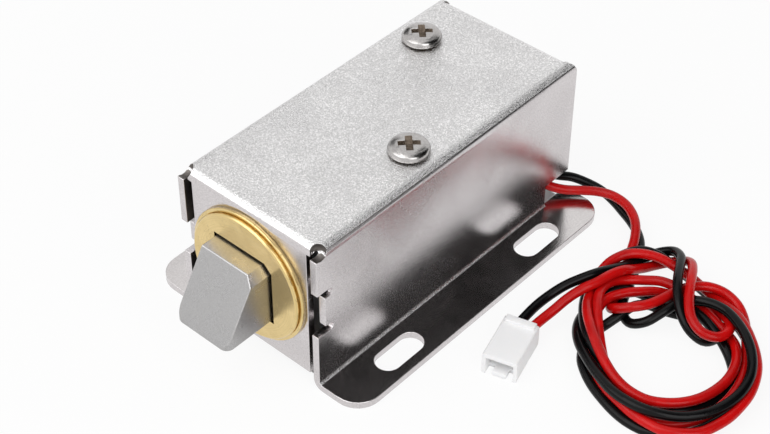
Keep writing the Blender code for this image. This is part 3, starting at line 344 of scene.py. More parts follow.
@dataclass(frozen=True)
class Surface:
    """What every finish has: its name, its main colour and the colour of its hollows and shade.

    Sizes are in metres. A tone is the largest share of another colour that a pattern mixes in.
    """

    name: str
    colour: Colour
    dark: Colour

    def start(self) -> tuple[Material, Tree, NodeSocket]:
        """Start the finish's material.

        Returns:
            The material, its tree and the object's own coordinates.
        """
        made = bpy.data.materials.new(self.name)
        made.use_nodes = True
        tree = Tree(made.node_tree)
        return made, tree, tree.add("TexCoord").outputs["Object"]

    def shaded(self, tree: Tree, colour: Any, mask: Any, tone: float) -> NodeSocket:
        """Mix the dark colour in where a mask says so."""
        return tree.mix(tree.times(mask, tone), colour, self.dark)

    def close(self, tree: Tree, metallic: float, colour: Any, rough: Any, height: Any) -> Node:
        """Join colour, roughness and relief to the shader.

        Args:
            tree: the material's tree.
            metallic: how metallic the whole surface is.
            colour: socket of the base colour.
            rough: socket of the roughness.
            height: socket of the relief, in metres.

        Returns:
            The Principled shader.
        """
        shader = tree.tree.nodes["Principled BSDF"]
        bump = tree.add("Bump", Strength=1.0, Distance=1.0, Height=height)
        tree.join(colour, shader.inputs["Base Color"])
        tree.join(rough, shader.inputs["Roughness"])
        tree.join(bump.outputs["Normal"], shader.inputs["Normal"])
        shader.inputs["Metallic"].default_value = metallic
        return shader


@dataclass(frozen=True)
class Metal(Surface):
    """A bare or plated metal finish with grain, smudges, scratches and bright worn edges."""

    bright: Colour
    roughness: tuple[float, float]
    grain_size: float = 0.0004
    grain_tone: float = 0.3
    grain_bump: float = 0.00001
    grain_roughness: float = 0.12
    speckle: float = 0.5
    patch_size: float = 0.006
    patch_tone: float = 0.12
    scratch_tone: float = 0.2
    scratch_turn: float = 0.0
    scratch_cover: float = 0.3
    edge_width: float = 0.0002
    edge_tone: float = 0.6

    def material(self) -> Material:
        """Build the finish.

        Returns:
            Its material.
        """
        made, tree, place = self.start()
        grain = tree.effect(Effect.GRAIN, Vector=place, Grain_Size=self.grain_size, Speckle=self.speckle)
        smudge = tree.effect(Effect.SMUDGES, Vector=place, Patch_Size=self.patch_size)
        wear = tree.effect(Effect.WEAR, Vector=place, Edge_Width=self.edge_width)
        turned = tree.add("Mapping", Vector=place, Rotation=(0.0, 0.0, self.scratch_turn))
        lines = tree.effect(Effect.SCRATCHES, Vector=turned, Cover=self.scratch_cover)
        fine = tree.times(tree.inverse(grain), self.grain_tone)
        colour = self.shaded(tree, tree.mix(fine, self.colour, self.dark), smudge, self.patch_tone)
        colour = tree.mix(tree.times(lines, self.scratch_tone), colour, self.bright)
        colour = tree.mix(tree.times(wear, self.edge_tone), colour, self.bright)
        rough = tree.math("ADD", tree.ramp(smudge, 0.0, 1.0, *self.roughness),
                          tree.times(fine, self.grain_roughness))
        self.close(tree, 1.0, colour, rough, tree.times(grain.outputs["Height"], self.grain_bump))
        return made


@dataclass(frozen=True)
class Turned(Surface):
    """A turned metal finish: fine rings round the axis along Y through a centre, with small nicks."""

    bright: Colour
    roughness: tuple[float, float]
    centre: Point
    ring_width: float = 0.00012
    ring_tone: float = 0.25
    ring_depth: float = 0.000004
    nick_spacing: float = 0.0011
    nick_patch_size: float = 0.0015
    nick_tone: float = 0.7
    nick_depth: float = 0.00003
    patch_size: float = 0.004
    patch_tone: float = 0.2
    edge_width: float = 0.00015
    edge_tone: float = 0.7

    def material(self) -> Material:
        """Build the finish.

        Returns:
            Its material.
        """
        made, tree, place = self.start()
        moved = tree.add("Mapping", Vector=place, Location=tuple(-value for value in self.centre))
        apart = tree.add("SeparateXYZ", Vector=moved)
        radius = tree.math("SQRT", tree.math("ADD", tree.math("POWER", apart.outputs["X"], 2.0),
                                             tree.math("POWER", apart.outputs["Z"], 2.0)))
        rings = tree.add("TexNoise", {"noise_dimensions": "1D"},
                         W=tree.math("DIVIDE", radius, self.ring_width), Scale=1.0, Detail=3.0)
        ring = tree.ramp(rings, 0.3, 0.7)
        smudge = tree.effect(Effect.SMUDGES, Vector=place, Patch_Size=self.patch_size)
        wear = tree.effect(Effect.WEAR, Vector=place, Edge_Width=self.edge_width)
        spots = tree.add("TexVoronoi", {"feature": "DISTANCE_TO_EDGE"}, Vector=place,
                         Scale=1.0 / self.nick_spacing)
        rare = tree.effect(Effect.SMUDGES, Vector=place, Patch_Size=self.nick_patch_size)
        nick = tree.times(tree.ramp(spots, 0.02, 0.0), tree.ramp(rare, 0.75, 0.95))
        colour = self.colour
        for mask, tone in ((ring, self.ring_tone), (smudge, self.patch_tone), (nick, self.nick_tone)):
            colour = self.shaded(tree, colour, mask, tone)
        colour = tree.mix(tree.times(wear, self.edge_tone), colour, self.bright)
        height = tree.math("SUBTRACT", tree.times(ring, self.ring_depth), tree.times(nick, self.nick_depth))
        self.close(tree, 1.0, colour, tree.ramp(smudge, 0.0, 1.0, *self.roughness), height)
        return made


@dataclass(frozen=True)
class Plastic(Surface):
    """A moulded or extruded plastic finish with faint cloudiness, dust and mould grain."""

    roughness: tuple[float, float]
    grain_size: float = 0.0003
    grain_tone: float = 0.15
    grain_bump: float = 0.000004
    speckle: float = 0.2
    patch_size: float = 0.004
    patch_tone: float = 0.5
    shine: float = 0.5
    coat: float = 0.0
    coat_roughness: float = 0.08
    glow: float = 0.0
    glow_colour: Colour = (1.0, 1.0, 1.0)
    glow_depth: float = 0.0012

    def material(self) -> Material:
        """Build the finish.

        Returns:
            Its material.
        """
        made, tree, place = self.start()
        grain = tree.effect(Effect.GRAIN, Vector=place, Grain_Size=self.grain_size, Speckle=self.speckle)
        smudge = tree.effect(Effect.SMUDGES, Vector=place, Patch_Size=self.patch_size)
        colour = self.shaded(tree, self.colour, smudge, self.patch_tone)
        colour = self.shaded(tree, colour, tree.inverse(grain), self.grain_tone)
        shader = self.close(tree, 0.0, colour, tree.ramp(smudge, 0.0, 1.0, *self.roughness),
                            tree.times(grain.outputs["Height"], self.grain_bump))
        for socket, value in (("Specular IOR Level", self.shine), ("Coat Weight", self.coat),
                              ("Coat Roughness", self.coat_roughness), ("Subsurface Weight", self.glow),
                              ("Subsurface Radius", self.glow_colour), ("Subsurface Scale", self.glow_depth)):
            shader.inputs[socket].default_value = value
        return made


@dataclass(frozen=True)
class Wound(Surface):
    """A finish of closely laid turns round the axis along Y, such as enamelled wire or wrapped tape, with painted
    shade in the grooves between the turns.
    """

    roughness: tuple[float, float]
    metallic: float
    turn_width: float
    turn_depth: float
    groove_shade_tone: float = 0.7
    wobble: float = 0.0003
    wobble_scale: float = 180.0
    patch_size: float = 0.003
    patch_tone: float = 0.2

    def material(self) -> Material:
        """Build the finish.

        Returns:
            Its material.
        """
        made, tree, place = self.start()
        apart = tree.add("SeparateXYZ", Vector=place)
        noise = tree.add("TexNoise", Vector=place, Scale=self.wobble_scale, Detail=1.0)
        shifted = tree.math("ADD", apart.outputs["Y"], tree.times(noise, self.wobble))
        wave = tree.math("SINE", tree.times(shifted, math.tau / self.turn_width))
        crown = tree.ramp(wave, -1.0, 1.0)
        smudge = tree.effect(Effect.SMUDGES, Vector=place, Patch_Size=self.patch_size)
        # Painted shade: darker in the grooves between the turns.
        colour = self.shaded(tree, self.colour, tree.inverse(crown), self.groove_shade_tone)
        colour = self.shaded(tree, colour, smudge, self.patch_tone)
        self.close(tree, self.metallic, colour, tree.ramp(smudge, 0.0, 1.0, *self.roughness),
                   tree.times(crown, self.turn_depth))
        return made


class Finish(Enum):
    """The lock's finishes."""

    # Painted light and shade: the top, wall and flange finishes are lit and shaded copies of one nickel plating.
    # The top's lighter colour is painted light, and the walls' and flange's darker colour is painted shade for
    # the darker reflections they show.
    PLATE_TOP_LIT = Metal(
        "satin_nickel_lit", (0.95, 0.94, 0.94), (0.28, 0.27, 0.27), (0.98, 0.98, 0.98), (0.17, 0.25),
        grain_size=0.00022, grain_tone=0.33, grain_bump=0.00003, speckle=0.4, patch_size=0.009,
        scratch_tone=0.25, scratch_turn=0.9, scratch_cover=0.25, edge_width=0.00022)
    PLATE_WALL_SHADED = Metal(
        "bright_nickel_shaded", (0.70, 0.665, 0.67), (0.32, 0.30, 0.30), (0.93, 0.92, 0.92), (0.20, 0.25),
        grain_size=0.00022, grain_bump=0.000004, speckle=0.4, patch_size=0.009, scratch_tone=0.15,
        scratch_turn=0.2, scratch_cover=0.2)
    PLATE_FLANGE_SHADED = Metal(
        "flange_nickel_shaded", (0.70, 0.67, 0.665), (0.36, 0.34, 0.34), (0.93, 0.92, 0.92), (0.11, 0.16),
        grain_size=0.00024, grain_bump=0.000003, patch_size=0.008, scratch_tone=0.15,
        scratch_turn=0.2, scratch_cover=0.2)
    # Painted shade: a dark copy of the nickel for the faces inside the case and the relief holes' walls.
    PLATE_INSIDE_SHADE = Metal(
        "shaded_nickel", (0.17, 0.155, 0.145), (0.07, 0.06, 0.055), (0.5, 0.48, 0.46), (0.35, 0.5),
        grain_size=0.0005)
    BRASS = Turned(
        "turned_brass", (0.80, 0.62, 0.30), (0.42, 0.29, 0.10), (0.95, 0.82, 0.52), (0.16, 0.27),
        (0.0, 0.0, AXIS_HEIGHT))
    TUBE = Metal(
        "drawn_brass", (0.78, 0.58, 0.27), (0.45, 0.31, 0.12), (0.93, 0.78, 0.45), (0.2, 0.32),
        grain_tone=0.2, scratch_turn=math.pi / 2, scratch_cover=0.5)
    CAST = Metal(
        "matt_bolt_metal", (0.45, 0.445, 0.445), (0.20, 0.19, 0.185), (0.80, 0.78, 0.76), (0.24, 0.32),
        grain_size=0.00022, grain_tone=0.22, grain_bump=0.000006, speckle=0.4, patch_size=0.004,
        scratch_turn=1.4, edge_width=0.0003)
    SCREW = Metal(
        "screw_nickel", (0.50, 0.485, 0.475), (0.24, 0.22, 0.21), (0.92, 0.92, 0.92), (0.15, 0.24),
        grain_size=0.0003, grain_tone=0.2, grain_bump=0.000004, patch_size=0.002, edge_width=0.00018)
    # Painted shade for the screws' cross recesses and a painted shadow under their heads.
    SCREW_SHADE = Metal(
        "screw_painted_shade", (0.20, 0.16, 0.125), (0.06, 0.045, 0.035), (0.60, 0.54, 0.46), (0.4, 0.55),
        grain_size=0.0003, grain_tone=0.5, grain_bump=0.00002, edge_width=0.0001)
    STEEL = Metal(
        "soft_iron", (0.46, 0.46, 0.47), (0.25, 0.25, 0.26), (0.72, 0.72, 0.73), (0.3, 0.45),
        grain_size=0.0005, scratch_turn=math.pi / 2, scratch_cover=0.6)
    SPRING = Metal(
        "spring_wire", (0.58, 0.57, 0.56), (0.28, 0.27, 0.27), (0.82, 0.82, 0.82), (0.2, 0.32),
        grain_size=0.0002, grain_tone=0.25, grain_bump=0.000003, edge_width=0.00008)
    SPOOL = Plastic(
        "spool_nylon", (0.60, 0.56, 0.47), (0.44, 0.40, 0.32), (0.38, 0.5), glow=0.1,
        glow_colour=(1.0, 0.8, 0.6))
    COPPER = Wound(
        "enamelled_copper", (0.62, 0.22, 0.08), (0.16, 0.04, 0.015), (0.24, 0.39), 0.9, 0.0004, 0.00004)
    TAPE = Wound(
        "winding_tape", (0.62, 0.47, 0.16), (0.38, 0.27, 0.08), (0.34, 0.49), 0.0, 0.006, 0.00003)
    RED = Plastic(
        "red_insulation", (0.64, 0.005, 0.005), (0.34, 0.003, 0.003), (0.18, 0.26), grain_size=0.0005,
        grain_bump=0.000006, patch_size=0.005, coat=0.15, shine=0.12)
    BLACK = Plastic(
        "black_insulation", (0.0025, 0.0025, 0.003), (0.006, 0.006, 0.006), (0.20, 0.28), grain_size=0.0005,
        grain_bump=0.000006, patch_size=0.005, coat=0.12, shine=0.1)
    HOUSING = Plastic(
        "housing_nylon", (0.98, 0.98, 0.99), (0.95, 0.945, 0.94), (0.34, 0.48),
        grain_bump=0.000005, patch_size=0.003, glow=0.45, glow_colour=(1.0, 0.95, 0.9))
    TIN = Metal(
        "tinned_contact", (0.72, 0.72, 0.70), (0.40, 0.40, 0.38), (0.92, 0.92, 0.9), (0.25, 0.38),
        grain_size=0.00025, grain_tone=0.25, edge_width=0.0001)


class Workshop:
    """Builds each finish once and hands it out by name."""

    def __init__(self) -> None:
        """Build every material."""
        self.made = {finish: finish.value.material() for finish in Finish}

    def get(self, *finishes: Finish) -> list[Material]:
        """The materials of some finishes, in order."""
        return [self.made[finish] for finish in finishes]


class Body(Enum):
    """The rigid bodies that a piece can ride on."""

    ROOT = "root"
    BOLT = "bolt"


def add_piece(name: str, mesh: Mesh, finishes: list[Material]) -> Object:
    """Show a finished mesh as a piece at the origin.

    Args:
        name: the piece's name.
        mesh: its mesh, with its place in it.
        finishes: materials for its slots.

    Returns:
        The piece's object.
    """
    mesh.materials.clear()
    for finish in finishes:
        mesh.materials.append(finish)
    piece = bpy.data.objects.new(name, mesh)
    bpy.context.scene.collection.objects.link(piece)
    return piece


def mount(piece: Object, body: Body, slot: str, *nodes: str) -> Object:
    """Put a piece on its body in place of its CAD nodes, and report it.

    Args:
        piece: the piece.
        body: the rigid body that it rides on.
        slot: name of its material slot; not used.
        nodes: CAD nodes that it stands for.

    Returns:
        The same piece.
    """
    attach(piece, body.value)
    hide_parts(*nodes)
    log.info("%s: %d faces on %s", piece.name, len(piece.data.polygons), body.value)
    return piece


def dress(node: str, finish: Material) -> None:
    """Give a carried-over CAD node its finish.

    Args:
        node: the CAD node.
        finish: its material.
    """
    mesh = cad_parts[node].data
    mesh.materials.clear()
    mesh.materials.append(finish)
    log.info("%s: carried over as %s", node, finish.name)


def rounded_copy(node: str, name: str, width: float, angle: float = 35.0) -> Mesh:
    """A clean copy of a CAD node's mesh with its edges rounded.

    Args:
        node: the CAD node.
        name: name of the new mesh.
        width: width of the rounding, in metres; it is less where edges are short.
        angle: edges that turn more than this many degrees are rounded.

    Returns:
        The new mesh, with plain faces and smooth shading.
    """
    merge_distance = 0.008 * MM
    flat_angle = math.radians(0.7)
    full_width_length = 3.6 * width
    bm = bmesh.new()
    bm.from_mesh(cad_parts[node].data)
    bmesh.ops.remove_doubles(bm, verts=bm.verts, dist=merge_distance)
    bmesh.ops.dissolve_limit(bm, angle_limit=flat_angle, verts=bm.verts, edges=bm.edges)
    bmesh.ops.dissolve_degenerate(bm, dist=merge_distance, edges=bm.edges)
    weight = bm.edges.layers.float.new("bevel_weight_edge")
    shortest = {vert: min(edge.calc_length() for edge in vert.link_edges)
                for vert in bm.verts if vert.link_edges}
    for edge in bm.edges:
        if len(edge.link_faces) == 2 and edge.calc_face_angle(0.0) > math.radians(angle):
            edge[weight] = min(1.0, min(shortest[vert] for vert in edge.verts) / full_width_length)
    mesh = bpy.data.meshes.new(name)
    bm.to_mesh(mesh)
    bm.free()
    mesh.shade_smooth()
    draft = add_piece(name + "_draft", mesh, [])
    rounding = draft.modifiers.new("rounding", "BEVEL")
    rounding.width = width
    rounding.segments = 2
    rounding.limit_method = "WEIGHT"
    rounding.use_clamp_overlap = False
    draft.modifiers.new("normals", "WEIGHTED_NORMAL").keep_sharp = True
    return plain_mesh(draft, name)


def plain_mesh(draft: Object, name: str) -> Mesh:
    """Turn a draft with modifiers into a plain mesh, and remove the draft.

    Args:
        draft: the object with live modifiers.
        name: name of the new mesh.

    Returns:
        The plain mesh.
    """
    bpy.context.view_layer.update()
    graph = bpy.context.evaluated_depsgraph_get()
    mesh = bpy.data.meshes.new_from_object(draft.evaluated_get(graph), preserve_all_data_layers=True,
                                           depsgraph=graph)
    mesh.name = name
    bpy.data.objects.remove(draft)
    return mesh


@dataclass(frozen=True)
class Shell:
    """A piece that is one CAD node with its edges rounded."""

    node: str
    slot: str
    edge: float
    finishes: tuple[Finish, ...]
    body: Body = Body.ROOT


@dataclass
class Assembly:
    """A sub-assembly: the workshop that it takes its finishes from, and its shells."""

    shop: Workshop
    shells: tuple[Shell, ...] = ()

    def build_shells(self) -> dict[str, Object]:
        """Build, dress and mount the shells.

        Returns:
            Their pieces by the names of the CAD nodes.
        """
        made = {}
        for shell in self.shells:
            name = shell.node + "_shell"
            piece = add_piece(name, rounded_copy(shell.node, name, shell.edge), self.shop.get(*shell.finishes))
            made[shell.node] = mount(piece, shell.body, shell.slot, shell.node)
        return made


def finish_tree(tree: Tree, given: Any, result: Any, shape: Node, name: str,
                finish: Material) -> Object:
    """Close a Geometry Nodes tree, run it once and keep its result as a plain piece.

    Args:
        tree: the tree.
        given: the sockets that it is given.
        result: the sockets of its result.
        shape: the node that makes the geometry.
        name: name of the piece.
        finish: material that Set Material gives it.

    Returns:
        The piece, with its faces outward.
    """
    seam_distance = 0.0005 * MM
    real = tree.add("GeometryNodeRealizeInstances", Geometry=shape)
    smooth = tree.add("GeometryNodeSetShadeSmooth", Geometry=real)
    painted = tree.add("GeometryNodeSetMaterial", Geometry=smooth, Material=given["Finish"])
    tree.join(painted, result["Geometry"])
    draft = add_piece(name + "_draft", bpy.data.meshes.new(name + "_draft"), [])
    modifier = draft.modifiers.new("shape", "NODES")
    modifier.node_group = tree.tree
    sockets = {item.name: item.identifier for item in tree.tree.interface.items_tree if item.in_out == "INPUT"}
    modifier[sockets["Finish"]] = finish
    mesh = plain_mesh(draft, name)
    bm = bmesh.new()
    bm.from_mesh(mesh)
    bmesh.ops.remove_doubles(bm, verts=bm.verts, dist=seam_distance)
    bmesh.ops.recalc_face_normals(bm, faces=bm.faces)
    bm.to_mesh(mesh)
    bm.free()
    return add_piece(name, mesh, [finish])


@dataclass
class Studio:
    """Camera, pale floor, soft lamps and the dark cards that the bright metal mirrors.

    A lamp is a name, the direction to it, its side in metres and its power in watts. A card is a
    name, its brightness, where 1 is white, and the directions to its four corners.
    """

    focal: float = 81.10
    sensor: float = 36.0
    shift_y: float = -0.070
    near: float = 5.0 * MM
    place: Point = (0.13106, -0.14201, 0.18262)
    azimuth: float = math.radians(41.75)
    elevation: float = math.radians(40.16)
    roll: float = math.radians(0.18)
    sky_light: float = 0.38
    floor_white: float = 0.9
    floor_size: float = 6.0
    case_middle: float = 5.0 * MM
    case_half: tuple[float, float] = (12.5 * MM, 27.0 * MM)
    lamp_distance: float = 0.8
    lamps: tuple[tuple[str, Point, float, float], ...] = (
        ("key_lamp", (-0.35, -0.75, 1.0), 0.8, 3.9),
        ("fill_lamp", (0.95, -0.35, 0.75), 0.6, 2.2),
    )
    card_distance: float = 0.9
    cards: tuple[tuple[str, float, tuple[Point, ...]], ...] = (
        ("ridge_card", 0.05, ((-0.08, 0.35, 0.85), (0.06, 0.30, 0.87), (0.06, 0.95, 0.70), (-0.08, 0.90, 0.72))),
        ("right_card", 0.01, ((0.16, 0.00, 0.95), (1.05, -0.15, 0.03), (0.85, 1.15, 0.03), (0.12, 1.15, 0.62))),
        ("front_card", 0.22,
         ((-0.75, -0.10, 0.84), (-0.30, -0.10, 0.90), (-0.30, -0.60, 0.72), (-0.75, -0.60, 0.58))),
        ("left_card", 0.10, ((-1.00, 0.10, 0.30), (-0.66, 0.22, 0.64), (-0.72, 0.62, 0.52), (-1.00, 0.60, 0.20))),
    )

    def build(self) -> None:
        """Set up everything around the lock."""
        self.build_camera()
        self.build_world()
        self.build_floor()
        for name, towards, size, power in self.lamps:
            self.build_lamp(name, towards, size, power)
        for name, level, corners in self.cards:
            self.build_card(name, level, corners)
        bpy.context.scene.view_settings.view_transform = "Standard"

    def build_camera(self) -> None:
        """Stand the camera where the photograph was taken from."""
        turn = (Matrix.Rotation(self.azimuth, 4, "Z") @ Matrix.Rotation(math.pi / 2 - self.elevation, 4, "X")
                @ Matrix.Rotation(self.roll, 4, "Z"))
        lens = bpy.data.cameras.new("camera")
        lens.lens = self.focal
        lens.sensor_width = self.sensor
        lens.shift_y = self.shift_y
        lens.clip_start = self.near
        camera = bpy.data.objects.new("camera", lens)
        camera.matrix_world = Matrix.Translation(self.place) @ turn
        bpy.context.scene.collection.objects.link(camera)
        bpy.context.scene.camera = camera

    def build_world(self) -> None:
        """Plain soft light, with white behind the lock and in what mirrors it."""
        world = bpy.data.worlds.new("studio")
        bpy.context.scene.world = world
        world.use_nodes = True
        tree = Tree(world.node_tree)
        shader = world.node_tree.nodes["Background"]
        strength = tree.add("MapRange", Value=self.seen(tree), To_Min=self.sky_light, To_Max=1.0)
        shader.inputs["Color"].default_value = WHITE
        tree.join(strength, shader.inputs["Strength"])

    def seen(self, tree: Tree) -> NodeSocket:
        """How far a ray comes from the camera or from a mirror or glass.

        Args:
            tree: the tree that reads it.

        Returns:
            A socket that is 1 for such rays and 0 for the others.
        """
        path = tree.add("LightPath")
        glossy = tree.math("MAXIMUM", path.outputs["Is Glossy Ray"], path.outputs["Is Transmission Ray"])
        return tree.math("MAXIMUM", path.outputs["Is Camera Ray"], glossy)

    def build_floor(self) -> None:
        """A pale floor that reads white and keeps a faint shadow; under the closed case a painted shade mask
        takes its white glow away, so it stays dark there.
        """
        made, tree = self.stage_material("studio_floor")
        matt = tree.add("BsdfDiffuse", Color=(0.9, 0.9, 0.9, 1.0))
        light = tree.add("Emission", Color=WHITE, Strength=1.0)
        place = tree.add("SeparateXYZ", Vector=tree.add("TexCoord").outputs["Object"])
        # Painted shade: inside the case's footprint the floor keeps only its diffuse part, which lies in the
        # case's shadow.
        half_x, half_y = self.case_half
        across = tree.math("COMPARE", place.outputs["X"], 0.0, half_x)
        along = tree.math("COMPARE", place.outputs["Y"], self.case_middle, half_y)
        outside = tree.math("SUBTRACT", self.floor_white, tree.math("MINIMUM", across, along), clamp=True)
        both = tree.add("MixShader", Fac=tree.times(self.seen(tree), outside), i1=matt, i2=light)
        tree.add("OutputMaterial", Surface=both)
        half = self.floor_size / 2
        corners = [(-half, -half, 0.0), (half, -half, 0.0), (half, half, 0.0), (-half, half, 0.0)]
        self.stage_sheet("floor", corners, made)

    def build_lamp(self, name: str, towards: Point, size: float, power: float) -> None:
        """Hang a soft square lamp.

        Args:
            name: the lamp's name.
            towards: direction from the lock to the lamp.
            size: side of the lamp, in metres.
            power: power in watts.
        """
        light = bpy.data.lights.new(name, "AREA")
        light.size = size
        light.energy = power
        lamp = bpy.data.objects.new(name, light)
        direction = Vector(towards).normalized()
        lamp.location = direction * self.lamp_distance
        lamp.rotation_euler = direction.to_track_quat("Z", "Y").to_euler()
        bpy.context.scene.collection.objects.link(lamp)

    def build_card(self, name: str, level: float, corners: tuple[Point, ...]) -> None:
        """Hang a card that shows only in mirroring surfaces, as a studio's flags do.

        Args:
            name: the card's name.
            level: its brightness, where 1 is white.
            corners: directions from the lock to its four corners.
        """
        made, tree = self.stage_material(name)
        light = tree.add("Emission", Color=WHITE, Strength=level)
        tree.add("OutputMaterial", Surface=light)
        card = self.stage_sheet(name, [self.card_distance * Vector(corner) for corner in corners], made)
        for rays in ("camera", "diffuse", "shadow", "transmission"):
            setattr(card, "visible_" + rays, False)

    def stage_material(self, name: str) -> tuple[Material, Tree]:
        """Start an empty material for something around the lock.

        Args:
            name: the material's name.

        Returns:
            The material and its tree.
        """
        made = bpy.data.materials.new(name)
        made.use_nodes = True
        made.node_tree.nodes.clear()
        return made, Tree(made.node_tree)

    def stage_sheet(self, name: str, corners: list[Any], finish: Material) -> Object:
        """Add one flat four-cornered sheet that belongs to the studio.

        Args:
            name: the sheet's name.
            corners: its four corners.
            finish: its material.

        Returns:
            The sheet's object.
        """
        mesh = bpy.data.meshes.new(name)
        mesh.from_pydata(corners, [], [(0, 1, 2, 3)])
        sheet = add_piece(name, mesh, [finish])
        return sheet


@dataclass
class Case(Assembly):
    """The folded nickel-plated case."""

    shells: tuple[Shell, ...] = (
        Shell("case", "nickel_plate", 0.09 * MM,
              (Finish.PLATE_WALL_SHADED, Finish.PLATE_TOP_LIT, Finish.PLATE_INSIDE_SHADE, Finish.PLATE_FLANGE_SHADED)),
    )
    top_level: float = 24.6 * MM
    sheet: float = 1.2 * MM
    half_width: float = 13.4 * MM
    rear: float = 33.35 * MM
    relief: float = 1.35 * MM
    relief_inset: float = 0.55 * MM

    def build(self) -> None:
        """Round the sheet's edges, and finish the top, the outside and the inside apart, with painted light on
        the top and painted shade on the walls, the flange and the inside.
        """
        for face in self.build_shells()["case"].data.polygons:
            face.material_index = self.shells[0].finishes.index(self.finish_of(face.center, face.normal))

    def finish_of(self, centre: Vector, normal: Vector) -> Finish:
        """The finish of a face.

        Args:
            centre: the face's middle.
            normal: the face's direction.

        Returns:
            One of the case's four finishes, which are lit and shaded copies of one nickel plating.
        """
        if normal.z > 0.5 and centre.z > self.top_level:
            return Finish.PLATE_TOP_LIT
        # Painted shade inside the case and in the relief holes.
        if self.is_inside(centre, normal) or self.is_relief(centre):
            return Finish.PLATE_INSIDE_SHADE
        # Painted highlight: the inner fold takes the lit top finish, so the bend reads as a bright band.
        if self.is_fold(centre, normal):
            return Finish.PLATE_TOP_LIT
        if normal.z > 0.9 and centre.z < 2 * self.sheet:
            return Finish.PLATE_FLANGE_SHADED
        return Finish.PLATE_WALL_SHADED

    def is_fold(self, centre: Vector, normal: Vector) -> bool:
        """Whether a face belongs to the inner fold between a wall and its flange, which gets the lit top finish
        as a painted highlight.
        """
        near = abs(abs(centre.x) - self.half_width) < 0.4 * self.sheet
        return near and centre.z < 1.5 * self.sheet and 0.1 < normal.z < 0.95

    def is_relief(self, centre: Vector) -> bool:
        """Whether a face belongs to one of the round relief holes at the front corners, whose walls get painted
        shade.

        Args:
            centre: the face's middle.

        Returns:
            True for the holes' walls.
        """
        hole = Vector((self.half_width, FACE_Y, CAD_TOP)) + self.relief_inset * Vector((-1.0, 1.0, -1.0))
        away = (Vector((abs(centre.x), centre.y, centre.z)) - hole).length
        return abs(away - self.relief) < 0.05 * self.relief

    def is_inside(self, centre: Vector, normal: Vector) -> bool:
        """Whether a face looks into the case, where it gets painted shade.

        Args:
            centre: the face's middle.
            normal: the face's direction.

        Returns:
            True for the inner faces of the top, the walls and the end plates.
        """
        within = abs(centre.x) < self.half_width - 0.8 * self.sheet
        along = FACE_Y + 0.5 * self.sheet < centre.y < self.rear - 0.5 * self.sheet
        inward = centre.x * normal.x < 0 and abs(normal.x) > 0.5
        under = normal.z < -0.5 and centre.z > self.top_level - self.sheet
        ends = abs(normal.y) > 0.5 and centre.y * normal.y < 0
        return within and along and (inward or under or ends)


@dataclass
class Screws(Assembly):
    """The two cross-recess screws in the case top.

    The dome's profile gives shares of the radius and of the height.
    """

    edge: float = 0.05 * MM
    recess_radius: float = 1.75 * MM
    recess_depth: float = 0.07 * MM
    radius: float = 3.1 * MM
    height: float = 1.35 * MM
    gap: float = 0.3 * MM
    underside: float = 0.1 * MM
    dome_out: tuple[float, ...] = (0.0, 0.45, 0.75, 0.93, 1.0)
    dome_up: tuple[float, ...] = (1.0, 0.97, 0.84, 0.6, 0.3)
    nodes: tuple[str, ...] = ("right_screw", "left_screw")

    def build(self) -> None:
        """Round each screw's edges, and paint shade into its recess and a shadow on its underside."""
        seat = CAD_TOP + self.gap
        for node in self.nodes:
            low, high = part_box(node)
            centre = (Vector(low) + Vector(high)) / 2
            mesh = rounded_copy(node, node + "_head", self.edge, angle=30.0)
            piece = add_piece(node + "_head", mesh, self.shop.get(Finish.SCREW, Finish.SCREW_SHADE))
            for face in mesh.polygons:
                away = (face.center - centre).xy.length
                dome = seat + self.height * np.interp(away / self.radius, self.dome_out, self.dome_up)
                recessed = away < self.recess_radius and face.center.z < dome - self.recess_depth
                # Painted shade: recess faces and the head's underside take the dark screw finish, for the shade
                # in the cross and the shadow gap under the head.
                face.material_index = int(recessed or face.center.z < seat + self.underside)
            mount(piece, Body.ROOT, "steel", node)


